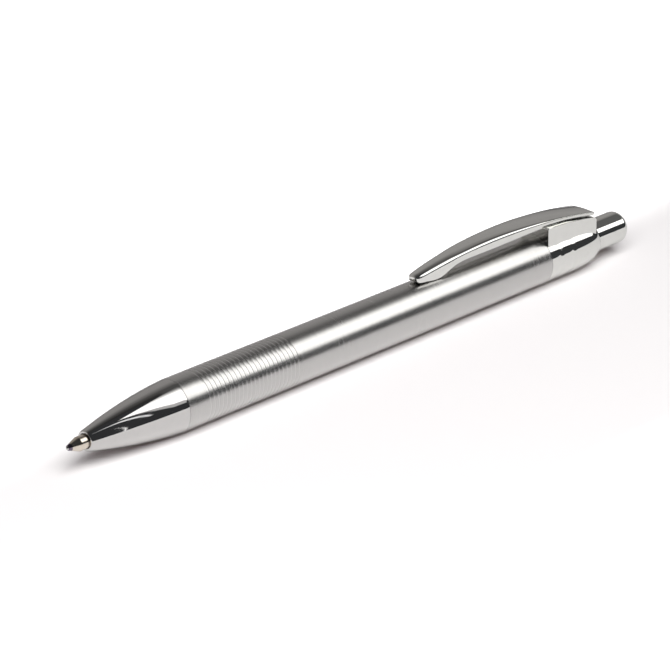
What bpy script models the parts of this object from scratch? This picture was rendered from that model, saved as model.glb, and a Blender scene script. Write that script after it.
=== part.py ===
# A click ball pen of stainless steel, lying along X with its tip towards -X and its clip on top.
# Stations are distances along the pen's axis from the front of the writing ball, as in the written pose.
import math
import bpy
import bmesh
from mathutils import Matrix, Vector

# Driving sizes of the outside, in metres
BARREL_RADIUS = 0.0049
BARREL_LENGTH = 0.0932
NOSE_LENGTH = 0.01953
TIP_STANDOUT = 0.0041
BUTTON_STANDOUT = 0.0094
BLOCK_HALF_WIDTH = 0.0036
CLIP_LENGTH = 0.048
CLIP_HALF_WIDTH = 0.0025
CLIP_RISE = 0.0039
CLIP_DEPTH = 0.0028

# Clearances and small edges
SEAM_GAP = 0.0001
FIT_GAP = 0.0001
RUN_GAP = 0.00012
SEAT_GAP = 0.0001
EDGE_CHAMFER = 0.00008
OVERRUN = 0.001
SINK = 0.00008

# Travel of the click mechanism
CLICK_TRAVEL = 0.0052
PRESS_TRAVEL = 0.001

# Walls
BARREL_WALL = 0.0007
FRONT_BUSH_WALL = 0.0004
REAR_BUSH_WALL = 0.0005
SPIGOT_WALL = 0.00045
HOUSING_WALL = 0.00025
REFILL_WALL = 0.0004
REFILL_GAP = 0.0002

# Faces round each turned piece, and steps along each curve
OUTER_SIDES = 28
INNER_SIDES = 24
FINE_SIDES = 16
SECTOR_STEPS = 3
LUG_STEPS = 2
OGIVE_STEPS = 9
SOCKET_STEPS = 5
BUTTON_ROUND_STEPS = 5
SHOULDER_STEPS = 9
BLOCK_TOP_STEPS = 6
HALF_ROUND_STEPS = 8
QUARTER_ROUND = tuple(math.radians(degrees) for degrees in (30, 60, 90))

# Turned grooves of the barrel
GROOVE_COUNT = 23
GROOVE_START = 0.0048
GROOVE_PITCH = 0.00097
GROOVE_WIDTH = 0.00034
GROOVE_DEPTH = 0.00006

# Ball and point of the refill
BALL_RADIUS = 0.00035
BALL_GAP = 0.00004
SOCKET_RIM_WALL = 0.00007
INK_CHANNEL_RADIUS = 0.00015
INK_CHANNEL_LENGTH = 0.0006
INK_BORE_RADIUS = 0.0005
SHANK_RADIUS = 0.00128
POINT_CONE_LENGTH = 0.0022
POINT_LENGTH = 0.0119
POINT_SPIGOT_RADIUS = 0.0009
POINT_SPIGOT_LENGTH = 0.0036

# Nose cone
MOUTH_RING = 0.00018
MOUTH_FILLET = 0.0003
MOUTH_GUIDE_LENGTH = 0.0041
OGIVE_BULGE = 0.00046
SPIGOT_LENGTH = 0.0084
BUSH_TAIL = 0.0015
BUSH_SETBACK = 0.0005

# Spring and neck of the refill
NECK_STEP = 0.00032
SPRING_WIRE_RADIUS = 0.0002
SPRING_SIDE_GAP = 0.00015
SPRING_LENGTH = 0.0118
SPRING_TURNS = 9
SPRING_POINTS_PER_TURN = 10
CHAMBER_CLEARANCE = 0.001
SHOULDER_CONE_LENGTH = 0.0015
NECK_SPIGOT_LENGTH = 0.0045
INK_LENGTH_SHARE = 0.74
FOLLOWER_LENGTH = 0.004
PLUG_LENGTH = 0.005
PLUG_HEAD_LENGTH = 0.0014
PLUG_VENT_RADIUS = 0.0004

# Click mechanism
MECHANISM_REACH = 0.01853
HOUSING_LEAD = 0.0025
HOUSING_TAIL = 0.0038
HOUSING_FLANGE_LENGTH = 0.0011
CAM_GROOVE_DEPTH = 0.00035
CAM_GROOVE_COUNT = 4
CAM_GROOVE_ANGLE = math.radians(40)
ROTOR_TURN = math.radians(22.5)
ROTOR_DISC_LENGTH = 0.0014
ROTOR_NECK_LENGTH = 0.0015
ROTOR_DISC_STEP = 0.0003
ROTOR_NECK_STEP = 0.0009
ROTOR_RING_LENGTH = 0.0039
ROTOR_LUG_LENGTH = 0.003
ROTOR_LUG_ANGLE = math.radians(14)
ROTOR_STEM_RADIUS = 0.0012
ROTOR_STEM_LENGTH = 0.0066
LATCH_GAP = 0.0002
TOOTH_COUNT = 8
TOOTH_HEIGHT = 0.0008
TOOTH_GAP_ANGLE = math.radians(1)
FIN_SETBACK = 0.0019
FIN_LENGTH = 0.005
FIN_ANGLE = math.radians(20)
REAR_BUSH_IN_BARREL = 0.01
REAR_BUSH_IN_SLEEVE = 0.0025

# Clip sleeve, its block and the button
RING_PITCH = 0.00363
RING_COUNT = 2
RING_DROP = 0.0001
RING_FLAT_SHARE = 0.5
RING_CURVE_SHARE = 0.75
RING_CURVE_DROP_SHARE = 0.25
SLEEVE_LAND = 0.00034
SHOULDER_DROP = 0.00145
SHOULDER_LENGTH = 0.0077
SLEEVE_LIP = 0.0001
SLEEVE_HOLE_LENGTH = 0.0048
BUTTON_WALL = 0.0007
BUTTON_END_WALL = 0.002
BUTTON_END_ROUND = 0.00175
BLOCK_SETBACK = 0.0001
BLOCK_REAR_SETBACK = 0.0013
BLOCK_CORNER = 0.0007
BLOCK_EDGE = 0.0002
BLOCK_FOOT_DEPTH = 0.0034
POCKET_SETBACK = 0.004
POCKET_HALF_WIDTH = 0.0015
POCKET_FLOOR_WALL = 0.00055
POCKET_REAR_WALL = 0.0006
POCKET_DEEP_LENGTH = 0.0024
POCKET_DEEP_WALL = 0.00075

# Clip
CLIP_REAR_OVERHANG = 0.0006
CLIP_FRONT_DROP = 0.00243
CLIP_REAR_DROP = 0.00245
CLIP_CROWN = 0.00012
CLIP_EDGE_RADIUS = 0.0008
CLIP_NOSE_ROUND = 0.0008
CLIP_TAIL_ROUND = 0.0007
CLIP_WALL = 0.0005
CLIP_FOOT_GAP = 0.00012
CLIP_SEAT_GAP = 0.00025
CLIP_PIVOT_SETBACK = 0.0022
CLIP_PIVOT_RISE = 0.00025
CLIP_PIN_RADIUS = 0.0004
CLIP_PIN_HALF_LENGTH = 0.003
CLIP_LUG_RADIUS = 0.0008
CLIP_LUG_SINK = 0.0003
LEAF_THICKNESS = 0.0002
LEAF_ARCH = 0.0005
LEAF_STEPS = 6

# The clip's outline along its length: share of the length, share of the half width, share of the
# depth below the top line, and share of the edge radius.
CLIP_APEX_SHARE = 0.477
CLIP_OUTLINE_SHARES = (
    (0.000, 0.48, 0.36, 0.50),
    (0.017, 0.51, 0.45, 0.55),
    (0.027, 0.54, 0.54, 0.60),
    (0.052, 0.57, 0.70, 0.70),
    (0.079, 0.61, 0.86, 0.75),
    (0.100, 0.63, 0.955, 0.80),
    (0.119, 0.65, 0.975, 0.80),
    (0.134, 0.665, 0.94, 0.80),
    (0.148, 0.68, 0.87, 0.80),
    (0.165, 0.69, 0.77, 0.85),
    (0.180, 0.70, 0.686, 0.85),
    (0.210, 0.73, 0.593, 0.90),
    (0.248, 0.77, 0.568, 0.95),
    (0.335, 0.84, 0.655, 1.00),
    (0.437, 0.91, 0.682, 1.00),
    (0.560, 0.98, 0.579, 0.90),
    (0.646, 1.00, 0.482, 0.75),
    (0.696, 1.00, 0.436, 0.60),
    (0.760, 1.00, 0.385, 0.45),
    (0.815, 1.00, 0.336, 0.38),
    (0.880, 1.00, 0.308, 0.36),
    (0.935, 1.00, 0.290, 0.36),
    (1.000, 1.00, 0.225, 0.34),
)
CLIP_CHANNEL_FRONT_SHARE = 0.062
CLIP_CHANNEL_REAR_SHARE = 0.88
CLIP_FOOT_CUT_SHARE = 0.24
ROUND_STEP_SHARES = (0.06, 0.25, 0.6, 1.0)

# Radii, worked inwards from the outside
barrel_bore = BARREL_RADIUS - BARREL_WALL
bush_radius = barrel_bore - FIT_GAP
front_bush_bore = bush_radius - FRONT_BUSH_WALL
spigot_radius = front_bush_bore - FIT_GAP
nose_rear_bore = spigot_radius - SPIGOT_WALL
refill_radius = nose_rear_bore - REFILL_GAP
refill_bore = refill_radius - REFILL_WALL
refill_fill_radius = refill_bore - FIT_GAP
mouth_bore = SHANK_RADIUS + RUN_GAP
mouth_ring_radius = mouth_bore + MOUTH_RING
neck_radius = SHANK_RADIUS + NECK_STEP
spring_mean_radius = neck_radius + SPRING_SIDE_GAP + SPRING_WIRE_RADIUS
chamber_bore = spring_mean_radius + SPRING_WIRE_RADIUS + SPRING_SIDE_GAP
shoulder_radius = chamber_bore - SPRING_SIDE_GAP
rear_bush_bore = bush_radius - REAR_BUSH_WALL
housing_radius = rear_bush_bore - FIT_GAP
cam_groove_radius = housing_radius - HOUSING_WALL
cam_rib_bore = cam_groove_radius - CAM_GROOVE_DEPTH
cam_lug_radius = cam_groove_radius - FIT_GAP
plunger_radius = cam_rib_bore - FIT_GAP
rotor_ring_radius = plunger_radius - FIT_GAP
rotor_bore = ROTOR_STEM_RADIUS + FIT_GAP
sleeve_end_radius = BARREL_RADIUS - SHOULDER_DROP
sleeve_hole = sleeve_end_radius - SLEEVE_LIP
button_radius = sleeve_hole - FIT_GAP
button_bore = button_radius - BUTTON_WALL
plunger_stem_radius = button_bore - FIT_GAP

# Stations along the axis
socket_rim = BALL_RADIUS - BALL_GAP
point_cone_end = socket_rim + POINT_CONE_LENGTH
nose_mouth = TIP_STANDOUT
chamber_front = nose_mouth + MOUTH_GUIDE_LENGTH
refill_shoulder = chamber_front + SPRING_LENGTH
chamber_rear = refill_shoulder - PRESS_TRAVEL - CHAMBER_CLEARANCE
nose_seam = nose_mouth + NOSE_LENGTH
nose_end = nose_seam + SPIGOT_LENGTH
barrel_front = nose_seam + SEAM_GAP
barrel_rear = barrel_front + BARREL_LENGTH
sleeve_front = barrel_rear + SEAM_GAP
ring_rear = sleeve_front + RING_COUNT * RING_PITCH
shoulder_front = ring_rear + SLEEVE_LAND
sleeve_rear = shoulder_front + SHOULDER_LENGTH
button_end = sleeve_rear + BUTTON_STANDOUT
neck_front = POINT_LENGTH + SEAT_GAP
tube_front = refill_shoulder + SHOULDER_CONE_LENGTH + SEAT_GAP
neck_end = tube_front + NECK_SPIGOT_LENGTH
refill_end = sleeve_front - MECHANISM_REACH
tube_rear = refill_end - PLUG_HEAD_LENGTH - SEAT_GAP
plug_front = tube_rear - PLUG_LENGTH
ink_front = neck_end + SEAT_GAP
ink_rear = ink_front + (plug_front - ink_front) * INK_LENGTH_SHARE
rotor_front = refill_end + SEAT_GAP
rotor_ring_front = rotor_front + ROTOR_DISC_LENGTH + ROTOR_NECK_LENGTH
rotor_lug_rear = rotor_ring_front + ROTOR_LUG_LENGTH
rotor_ring_rear = rotor_ring_front + ROTOR_RING_LENGTH
rotor_stem_end = rotor_ring_rear + ROTOR_STEM_LENGTH
crown_tips = rotor_ring_rear + TOOTH_HEIGHT + SEAT_GAP
crown_root = crown_tips + TOOTH_HEIGHT
cam_rib_front = rotor_lug_rear + LATCH_GAP
housing_front = refill_end - HOUSING_LEAD
housing_rear = sleeve_front + HOUSING_TAIL
fin_front = crown_root + FIN_SETBACK
fin_rear = fin_front + FIN_LENGTH
cam_groove_rear = fin_rear + CLICK_TRAVEL + SEAT_GAP
button_front = housing_rear + PRESS_TRAVEL + SEAT_GAP + SEAM_GAP
plunger_body_rear = button_front - SEAT_GAP
plunger_end = button_end - BUTTON_END_WALL - SEAT_GAP
sleeve_bore_end = sleeve_rear - SLEEVE_HOLE_LENGTH
block_front = sleeve_front + BLOCK_SETBACK
block_rear = sleeve_rear - BLOCK_REAR_SETBACK
clip_rear = block_rear + CLIP_REAR_OVERHANG
clip_front = clip_rear - CLIP_LENGTH
clip_pivot = clip_rear - CLIP_PIVOT_SETBACK
clip_pivot_height = BARREL_RADIUS + CLIP_PIVOT_RISE
pocket_front = block_front + POCKET_SETBACK
pocket_rear = block_rear - POCKET_REAR_WALL
pocket_floor = barrel_bore + POCKET_FLOOR_WALL
pocket_deep_front = pocket_rear - POCKET_DEEP_LENGTH
pocket_deep_floor = sleeve_hole + POCKET_DEEP_WALL
pen_length = button_end


def principled(name, colour, metallic, roughness):
    material = bpy.data.materials.new(name)
    material.use_nodes = True
    shader = material.node_tree.nodes["Principled BSDF"]
    shader.inputs["Base Color"].default_value = (*colour, 1)
    shader.inputs["Metallic"].default_value = metallic
    shader.inputs["Roughness"].default_value = roughness
    return material


def new_group(name, station, height, parent):
    empty = bpy.data.objects.new(name, None)
    bpy.context.collection.objects.link(empty)
    empty.location = (station, 0, height)
    empty.parent = parent
    empty["origin"] = (station, 0, height)
    return empty


def add_object(name, bm, group, material=None):
    """The mesh is made in stations along the axis, and its origin is then set to its group's."""
    bmesh.ops.remove_doubles(bm, verts=bm.verts, dist=SINK / 100)
    bmesh.ops.recalc_face_normals(bm, faces=bm.faces)
    mesh = bpy.data.meshes.new(name)
    bm.to_mesh(mesh)
    bm.free()
    mesh.transform(Matrix.Translation(-Vector(group["origin"])))
    mesh.shade_smooth()
    mesh.set_sharp_from_angle(angle=math.radians(30))
    obj = bpy.data.objects.new(name, mesh)
    bpy.context.collection.objects.link(obj)
    obj.parent = group
    if material:
        mesh.materials.append(material)
    return obj


def turn(profile, sides, first=0.0, sweep=2 * math.pi):
    """Spins a profile of (station, radius) points round the pen's axis."""
    bm = bmesh.new()
    closed = all(radius > 0 for station, radius in profile)
    start = Matrix.Rotation(first, 4, "X")
    verts = [bm.verts.new(start @ Vector((station, 0, radius))) for station, radius in profile]
    edges = [bm.edges.new(pair) for pair in zip(verts, verts[1:])]
    if closed:
        edges.append(bm.edges.new((verts[-1], verts[0])))
    full = sweep >= 2 * math.pi
    bmesh.ops.spin(bm, geom=verts + edges, cent=(0, 0, 0), axis=(1, 0, 0), angle=sweep,
                   steps=sides, use_merge=full, use_duplicate=False)
    if not full:
        bmesh.ops.holes_fill(bm, edges=[edge for edge in bm.edges if edge.is_boundary], sides=0)
    return bm


def loft(sections):
    """Bridges closed rings of points, which all have as many points, and caps both ends."""
    bm = bmesh.new()
    rings = [[bm.verts.new(point) for point in section] for section in sections]
    for ring, following in zip(rings, rings[1:]):
        for index in range(len(ring)):
            after = (index + 1) % len(ring)
            bm.faces.new((ring[index], ring[after], following[after], following[index]))
    bm.faces.new(rings[0])
    bm.faces.new(rings[-1])
    return bm


def extrude_outline(outline, half_width):
    """An outline of (station, height) points, as thick as the width across the pen."""
    return loft([[(station, side * half_width, height) for station, height in outline]
                 for side in (-1, 1)])


def join(meshes):
    whole = bmesh.new()
    for bm in meshes:
        piece = bpy.data.meshes.new("joined")
        bm.to_mesh(piece)
        bm.free()
        whole.from_mesh(piece)
        bpy.data.meshes.remove(piece)
    return whole


def combine(obj, tool_mesh, operation):
    """Cuts a shape from an object, or adds it, with a live Boolean modifier."""
    tool = add_object(obj.name + "_" + operation.lower() + "_" + str(len(obj.modifiers)),
                      tool_mesh, obj.parent)
    tool.hide_render = True
    tool.display_type = "WIRE"
    modifier = obj.modifiers.new(tool.name, "BOOLEAN")
    modifier.operation = operation
    modifier.solver = "EXACT"
    modifier.object = tool


def cross_rod(station, height, radius, half_length):
    """A round rod across the pen."""
    ring = [(station + radius * math.cos(angle), height + radius * math.sin(angle))
            for angle in (2 * math.pi * step / FINE_SIDES for step in range(FINE_SIDES))]
    return extrude_outline(ring, half_length)


def make_barrel(group, steel):
    top = [(barrel_front, BARREL_RADIUS - EDGE_CHAMFER), (barrel_front + EDGE_CHAMFER, BARREL_RADIUS)]
    for index in range(GROOVE_COUNT):
        middle = barrel_front + GROOVE_START + index * GROOVE_PITCH
        top += [(middle - GROOVE_WIDTH / 2, BARREL_RADIUS), (middle, BARREL_RADIUS - GROOVE_DEPTH),
                (middle + GROOVE_WIDTH / 2, BARREL_RADIUS)]
    top += [(barrel_rear - EDGE_CHAMFER, BARREL_RADIUS), (barrel_rear, BARREL_RADIUS - EDGE_CHAMFER)]
    bore = [(barrel_rear, barrel_bore), (barrel_front, barrel_bore)]
    add_object("barrel_tube", turn(top + bore, OUTER_SIDES), group, steel)


def ring_profile(front, rear, outer, inner):
    return [(front, inner), (front, outer - EDGE_CHAMFER), (front + EDGE_CHAMFER, outer),
            (rear - EDGE_CHAMFER, outer), (rear, outer - EDGE_CHAMFER), (rear, inner)]


def make_bushes(group, brass):
    front = nose_seam + BUSH_SETBACK
    rear = nose_end + BUSH_TAIL
    add_object("barrel_front_bush", turn(ring_profile(front, rear, bush_radius, front_bush_bore),
                                         INNER_SIDES), group, brass)
    front = sleeve_front - REAR_BUSH_IN_BARREL
    rear = sleeve_front + REAR_BUSH_IN_SLEEVE
    add_object("barrel_rear_bush", turn(ring_profile(front, rear, bush_radius, rear_bush_bore),
                                        INNER_SIDES), group, brass)


def make_nose(group, chrome):
    first_radius = mouth_ring_radius + MOUTH_FILLET
    fillet = [(nose_mouth + MOUTH_FILLET * (1 - math.cos(turned)),
               mouth_ring_radius + MOUTH_FILLET * math.sin(turned)) for turned in (0, *QUARTER_ROUND)]
    ogive_front = nose_mouth + MOUTH_FILLET
    ogive_rear = nose_seam - EDGE_CHAMFER
    ogive = []
    for step in range(1, OGIVE_STEPS + 1):
        share = step / OGIVE_STEPS
        bulge = 4 * OGIVE_BULGE * share * (1 - share)
        ogive.append((ogive_front + (ogive_rear - ogive_front) * share,
                      first_radius + (BARREL_RADIUS - first_radius) * share + bulge))
    spigot = [(nose_seam, BARREL_RADIUS - EDGE_CHAMFER), (nose_seam, spigot_radius),
              (nose_end - EDGE_CHAMFER, spigot_radius), (nose_end, spigot_radius - EDGE_CHAMFER)]
    bores = [(nose_end, nose_rear_bore), (chamber_rear, nose_rear_bore), (chamber_rear, chamber_bore),
             (chamber_front, chamber_bore), (chamber_front, mouth_bore), (nose_mouth, mouth_bore)]
    add_object("nose_cone", turn(fillet + ogive + spigot + bores, OUTER_SIDES), group, chrome)


def make_return_spring(group, spring_steel):
    front = chamber_front + SEAT_GAP + SPRING_WIRE_RADIUS
    rear = refill_shoulder - SEAT_GAP - SPRING_WIRE_RADIUS
    count = SPRING_TURNS * SPRING_POINTS_PER_TURN + 1
    curve = bpy.data.curves.new("return_spring", "CURVE")
    curve.dimensions = "3D"
    curve.bevel_depth = SPRING_WIRE_RADIUS
    curve.bevel_resolution = 1
    curve.use_fill_caps = True
    spline = curve.splines.new("POLY")
    spline.points.add(count - 1)
    for index, point in enumerate(spline.points):
        angle = 2 * math.pi * index / SPRING_POINTS_PER_TURN
        station = front + (rear - front) * index / (count - 1)
        point.co = (station, spring_mean_radius * math.sin(angle),
                    spring_mean_radius * math.cos(angle), 1)
    spring = bpy.data.objects.new("return_spring", curve)
    bpy.context.collection.objects.link(spring)
    spring.parent = group
    curve.materials.append(spring_steel)
    turn_gap = (rear - front) / SPRING_TURNS - 2 * SPRING_WIRE_RADIUS
    print("return spring: least gap between turns", round(turn_gap * 1000, 3), "mm")


def make_ball(group, carbide):
    bm = bmesh.new()
    bmesh.ops.create_uvsphere(bm, u_segments=FINE_SIDES, v_segments=FINE_SIDES // 2,
                              radius=BALL_RADIUS)
    bmesh.ops.translate(bm, verts=bm.verts, vec=group["origin"])
    add_object("writing_ball", bm, group, carbide)


def make_point(group, nickel_silver):
    socket_radius = BALL_RADIUS + BALL_GAP
    rim_inner = math.sqrt(socket_radius ** 2 - BALL_GAP ** 2)
    seat_angle = math.asin(INK_CHANNEL_RADIUS / socket_radius)
    rim_angle = math.acos(-BALL_GAP / socket_radius)
    socket = []
    for step in range(SOCKET_STEPS + 1):
        angle = seat_angle + (rim_angle - seat_angle) * step / SOCKET_STEPS
        socket.append((BALL_RADIUS + socket_radius * math.cos(angle), socket_radius * math.sin(angle)))
    channel_end = socket[0][0] + INK_CHANNEL_LENGTH
    outside = [(socket_rim, rim_inner + SOCKET_RIM_WALL), (point_cone_end, SHANK_RADIUS),
               (POINT_LENGTH, SHANK_RADIUS), (POINT_LENGTH, POINT_SPIGOT_RADIUS),
               (POINT_LENGTH + POINT_SPIGOT_LENGTH, POINT_SPIGOT_RADIUS)]
    inside = [(POINT_LENGTH + POINT_SPIGOT_LENGTH, INK_BORE_RADIUS),
              (channel_end + INK_BORE_RADIUS, INK_BORE_RADIUS), (channel_end, INK_CHANNEL_RADIUS)]
    add_object("refill_point", turn(outside + inside + socket, INNER_SIDES), group, nickel_silver)


def make_refill(group, brass, plastic, ink, grease):
    neck_bore = POINT_SPIGOT_RADIUS + FIT_GAP
    neck_step = POINT_LENGTH + POINT_SPIGOT_LENGTH + SEAT_GAP
    cone_rear = refill_shoulder + SHOULDER_CONE_LENGTH
    neck = [(neck_front, neck_bore), (neck_front, neck_radius - EDGE_CHAMFER),
            (neck_front + EDGE_CHAMFER, neck_radius), (refill_shoulder, neck_radius),
            (refill_shoulder, shoulder_radius), (cone_rear - EDGE_CHAMFER, refill_radius),
            (cone_rear, refill_radius - EDGE_CHAMFER), (cone_rear, refill_fill_radius),
            (neck_end, refill_fill_radius), (neck_end, INK_BORE_RADIUS),
            (neck_step, INK_BORE_RADIUS), (neck_step, neck_bore)]
    add_object("refill_neck", turn(neck, INNER_SIDES), group, plastic)
    tube = ring_profile(tube_front, tube_rear, refill_radius, refill_bore)
    add_object("refill_tube", turn(tube, INNER_SIDES), group, brass)
    column = [(ink_front, 0), (ink_front, refill_fill_radius), (ink_rear, refill_fill_radius),
              (ink_rear, 0)]
    add_object("ink_column", turn(column, INNER_SIDES), group, ink)
    follower_front = ink_rear + SEAT_GAP
    follower_rear = follower_front + FOLLOWER_LENGTH
    follower = [(follower_front, 0), (follower_front, refill_fill_radius),
                (follower_rear, refill_fill_radius), (follower_rear, 0)]
    add_object("ink_follower", turn(follower, INNER_SIDES), group, grease)
    head_front = tube_rear + SEAT_GAP
    plug = [(plug_front, PLUG_VENT_RADIUS), (plug_front, refill_fill_radius),
            (head_front, refill_fill_radius), (head_front, refill_radius),
            (refill_end - EDGE_CHAMFER, refill_radius), (refill_end, refill_radius - EDGE_CHAMFER),
            (refill_end, PLUG_VENT_RADIUS)]
    add_object("refill_end_plug", turn(plug, INNER_SIDES), group, plastic)


def sector(front, rear, inner, outer, middle, width, steps):
    profile = [(front, inner), (front, outer), (rear, outer), (rear, inner)]
    return turn(profile, steps, middle - width / 2, width)


def cam_angles():
    return [2 * math.pi * (index + 0.5) / CAM_GROOVE_COUNT for index in range(CAM_GROOVE_COUNT)]


def saw_teeth(root, rise, inner, outer):
    """Saw teeth that stand on the plane at root and climb by rise, forwards where it is negative."""
    width = 2 * math.pi / TOOTH_COUNT
    base = root - math.copysign(SINK, rise)
    teeth = []
    for index in range(TOOTH_COUNT):
        first = index * width
        tooth = turn([(base, inner), (base, outer), (root, outer), (root, inner)], LUG_STEPS, first,
                     width - TOOTH_GAP_ANGLE)
        for vert in tooth.verts:
            if abs(vert.co.x - root) < SINK / 2:
                angle = math.atan2(-vert.co.y, vert.co.z) % (2 * math.pi)
                share = ((angle - first + TOOTH_GAP_ANGLE) % (2 * math.pi)) / width
                vert.co.x = root + rise * share
        teeth.append(tooth)
    return join(teeth)


def make_housing(group, plastic):
    flange_front = housing_rear - HOUSING_FLANGE_LENGTH
    profile = [(housing_front, cam_groove_radius), (housing_front, housing_radius),
               (flange_front, housing_radius), (flange_front, bush_radius),
               (housing_rear, bush_radius), (housing_rear, cam_rib_bore),
               (cam_rib_front, cam_rib_bore), (cam_rib_front, cam_groove_radius)]
    housing = add_object("cam_housing", turn(profile, INNER_SIDES), group, plastic)
    grooves = [sector(cam_rib_front - OVERRUN, cam_groove_rear, cam_rib_bore - CAM_GROOVE_DEPTH,
                      cam_groove_radius, angle, CAM_GROOVE_ANGLE, SECTOR_STEPS)
               for angle in cam_angles()]
    combine(housing, join(grooves), "DIFFERENCE")


def make_rotor(group, plastic):
    disc_rear = rotor_front + ROTOR_DISC_LENGTH
    disc_radius = rotor_ring_radius - ROTOR_DISC_STEP
    neck = rotor_ring_radius - ROTOR_NECK_STEP
    profile = [(rotor_front, 0), (rotor_front, disc_radius), (disc_rear, disc_radius),
               (disc_rear, neck), (rotor_ring_front, neck), (rotor_ring_front, rotor_ring_radius),
               (rotor_ring_rear, rotor_ring_radius), (rotor_ring_rear, ROTOR_STEM_RADIUS),
               (rotor_stem_end, ROTOR_STEM_RADIUS), (rotor_stem_end, 0)]
    rotor = add_object("rotor_cam", turn(profile, INNER_SIDES), group, plastic)
    lugs = [sector(rotor_ring_front + SINK, rotor_lug_rear, rotor_ring_radius - CAM_GROOVE_DEPTH,
                   cam_lug_radius, angle - ROTOR_TURN / 2, ROTOR_LUG_ANGLE, LUG_STEPS)
            for angle in cam_angles()]
    combine(rotor, join(lugs), "UNION")
    combine(rotor, saw_teeth(rotor_ring_rear, TOOTH_HEIGHT, rotor_bore, rotor_ring_radius - SINK),
            "UNION")


def make_plunger(group, plastic):
    bore_end = rotor_stem_end + SEAT_GAP
    profile = [(bore_end, 0), (bore_end, rotor_bore), (crown_root, rotor_bore),
               (crown_root, plunger_radius), (plunger_body_rear, plunger_radius),
               (plunger_body_rear, plunger_stem_radius),
               (plunger_end - EDGE_CHAMFER, plunger_stem_radius),
               (plunger_end, plunger_stem_radius - EDGE_CHAMFER), (plunger_end, 0)]
    plunger = add_object("plunger_cam", turn(profile, INNER_SIDES), group, plastic)
    fins = [sector(fin_front, fin_rear, plunger_radius - CAM_GROOVE_DEPTH, cam_lug_radius, angle,
                   FIN_ANGLE, LUG_STEPS) for angle in cam_angles()]
    combine(plunger, join(fins), "UNION")
    combine(plunger, saw_teeth(crown_root, -TOOTH_HEIGHT, rotor_bore + SINK, plunger_radius - SINK),
            "UNION")


def make_button(group, chrome):
    end_round = []
    for step in range(BUTTON_ROUND_STEPS + 1):
        angle = math.pi / 2 * step / BUTTON_ROUND_STEPS
        end_round.append((button_end - BUTTON_END_ROUND * (1 - math.sin(angle)),
                          button_radius - BUTTON_END_ROUND * (1 - math.cos(angle))))
    bore_end = button_end - BUTTON_END_WALL
    profile = [(bore_end, 0), (bore_end, button_bore), (button_front, button_bore),
               (button_front, button_radius)] + end_round + [(button_end, 0)]
    add_object("push_button", turn(profile, OUTER_SIDES), group, chrome)


def clip_values(station):
    """Half width, top, depth and edge radius of the clip at a station, from its table of shares."""
    share = min(max((station - clip_front) / CLIP_LENGTH, 0), 1)
    low, high = [pair for pair in zip(CLIP_OUTLINE_SHARES, CLIP_OUTLINE_SHARES[1:])
                 if share <= pair[1][0]][0]
    part = (share - low[0]) / (high[0] - low[0])
    width, depth, edge = [low[k] + (high[k] - low[k]) * part for k in (1, 2, 3)]
    apex = BARREL_RADIUS + CLIP_RISE
    if share < CLIP_APEX_SHARE:
        top = apex - CLIP_FRONT_DROP * (1 - share / CLIP_APEX_SHARE) ** 2
    else:
        top = apex - CLIP_REAR_DROP * ((share - CLIP_APEX_SHARE) / (1 - CLIP_APEX_SHARE)) ** 2
    return width * CLIP_HALF_WIDTH, top, depth * CLIP_DEPTH, edge * CLIP_EDGE_RADIUS


def round_inset(distance, radius):
    """How far a quarter round of this radius draws a side in, at a distance from the end."""
    reach = max(radius - distance, 0)
    return radius - math.sqrt(radius ** 2 - reach ** 2)


def clip_section(station):
    width, top, depth, edge = clip_values(station)
    bottom = top - depth
    nose_inset = round_inset(station - clip_front, CLIP_NOSE_ROUND)
    tail_inset = round_inset(clip_rear - station, CLIP_TAIL_ROUND)
    width -= nose_inset + tail_inset
    top -= (nose_inset + tail_inset / 2) / 2
    bottom += nose_inset / 3
    edge = min(edge, width / 2, (top - bottom) / 2)
    side = [(width, bottom), (width, top - CLIP_CROWN - edge)]
    for turned in QUARTER_ROUND:
        side.append((width - edge * (1 - math.cos(turned)),
                     top - CLIP_CROWN - edge * (1 - math.sin(turned))))
    across = side + [(0, top)] + [(-offset, height) for offset, height in reversed(side)]
    return [(station, offset, height) for offset, height in across]


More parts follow.
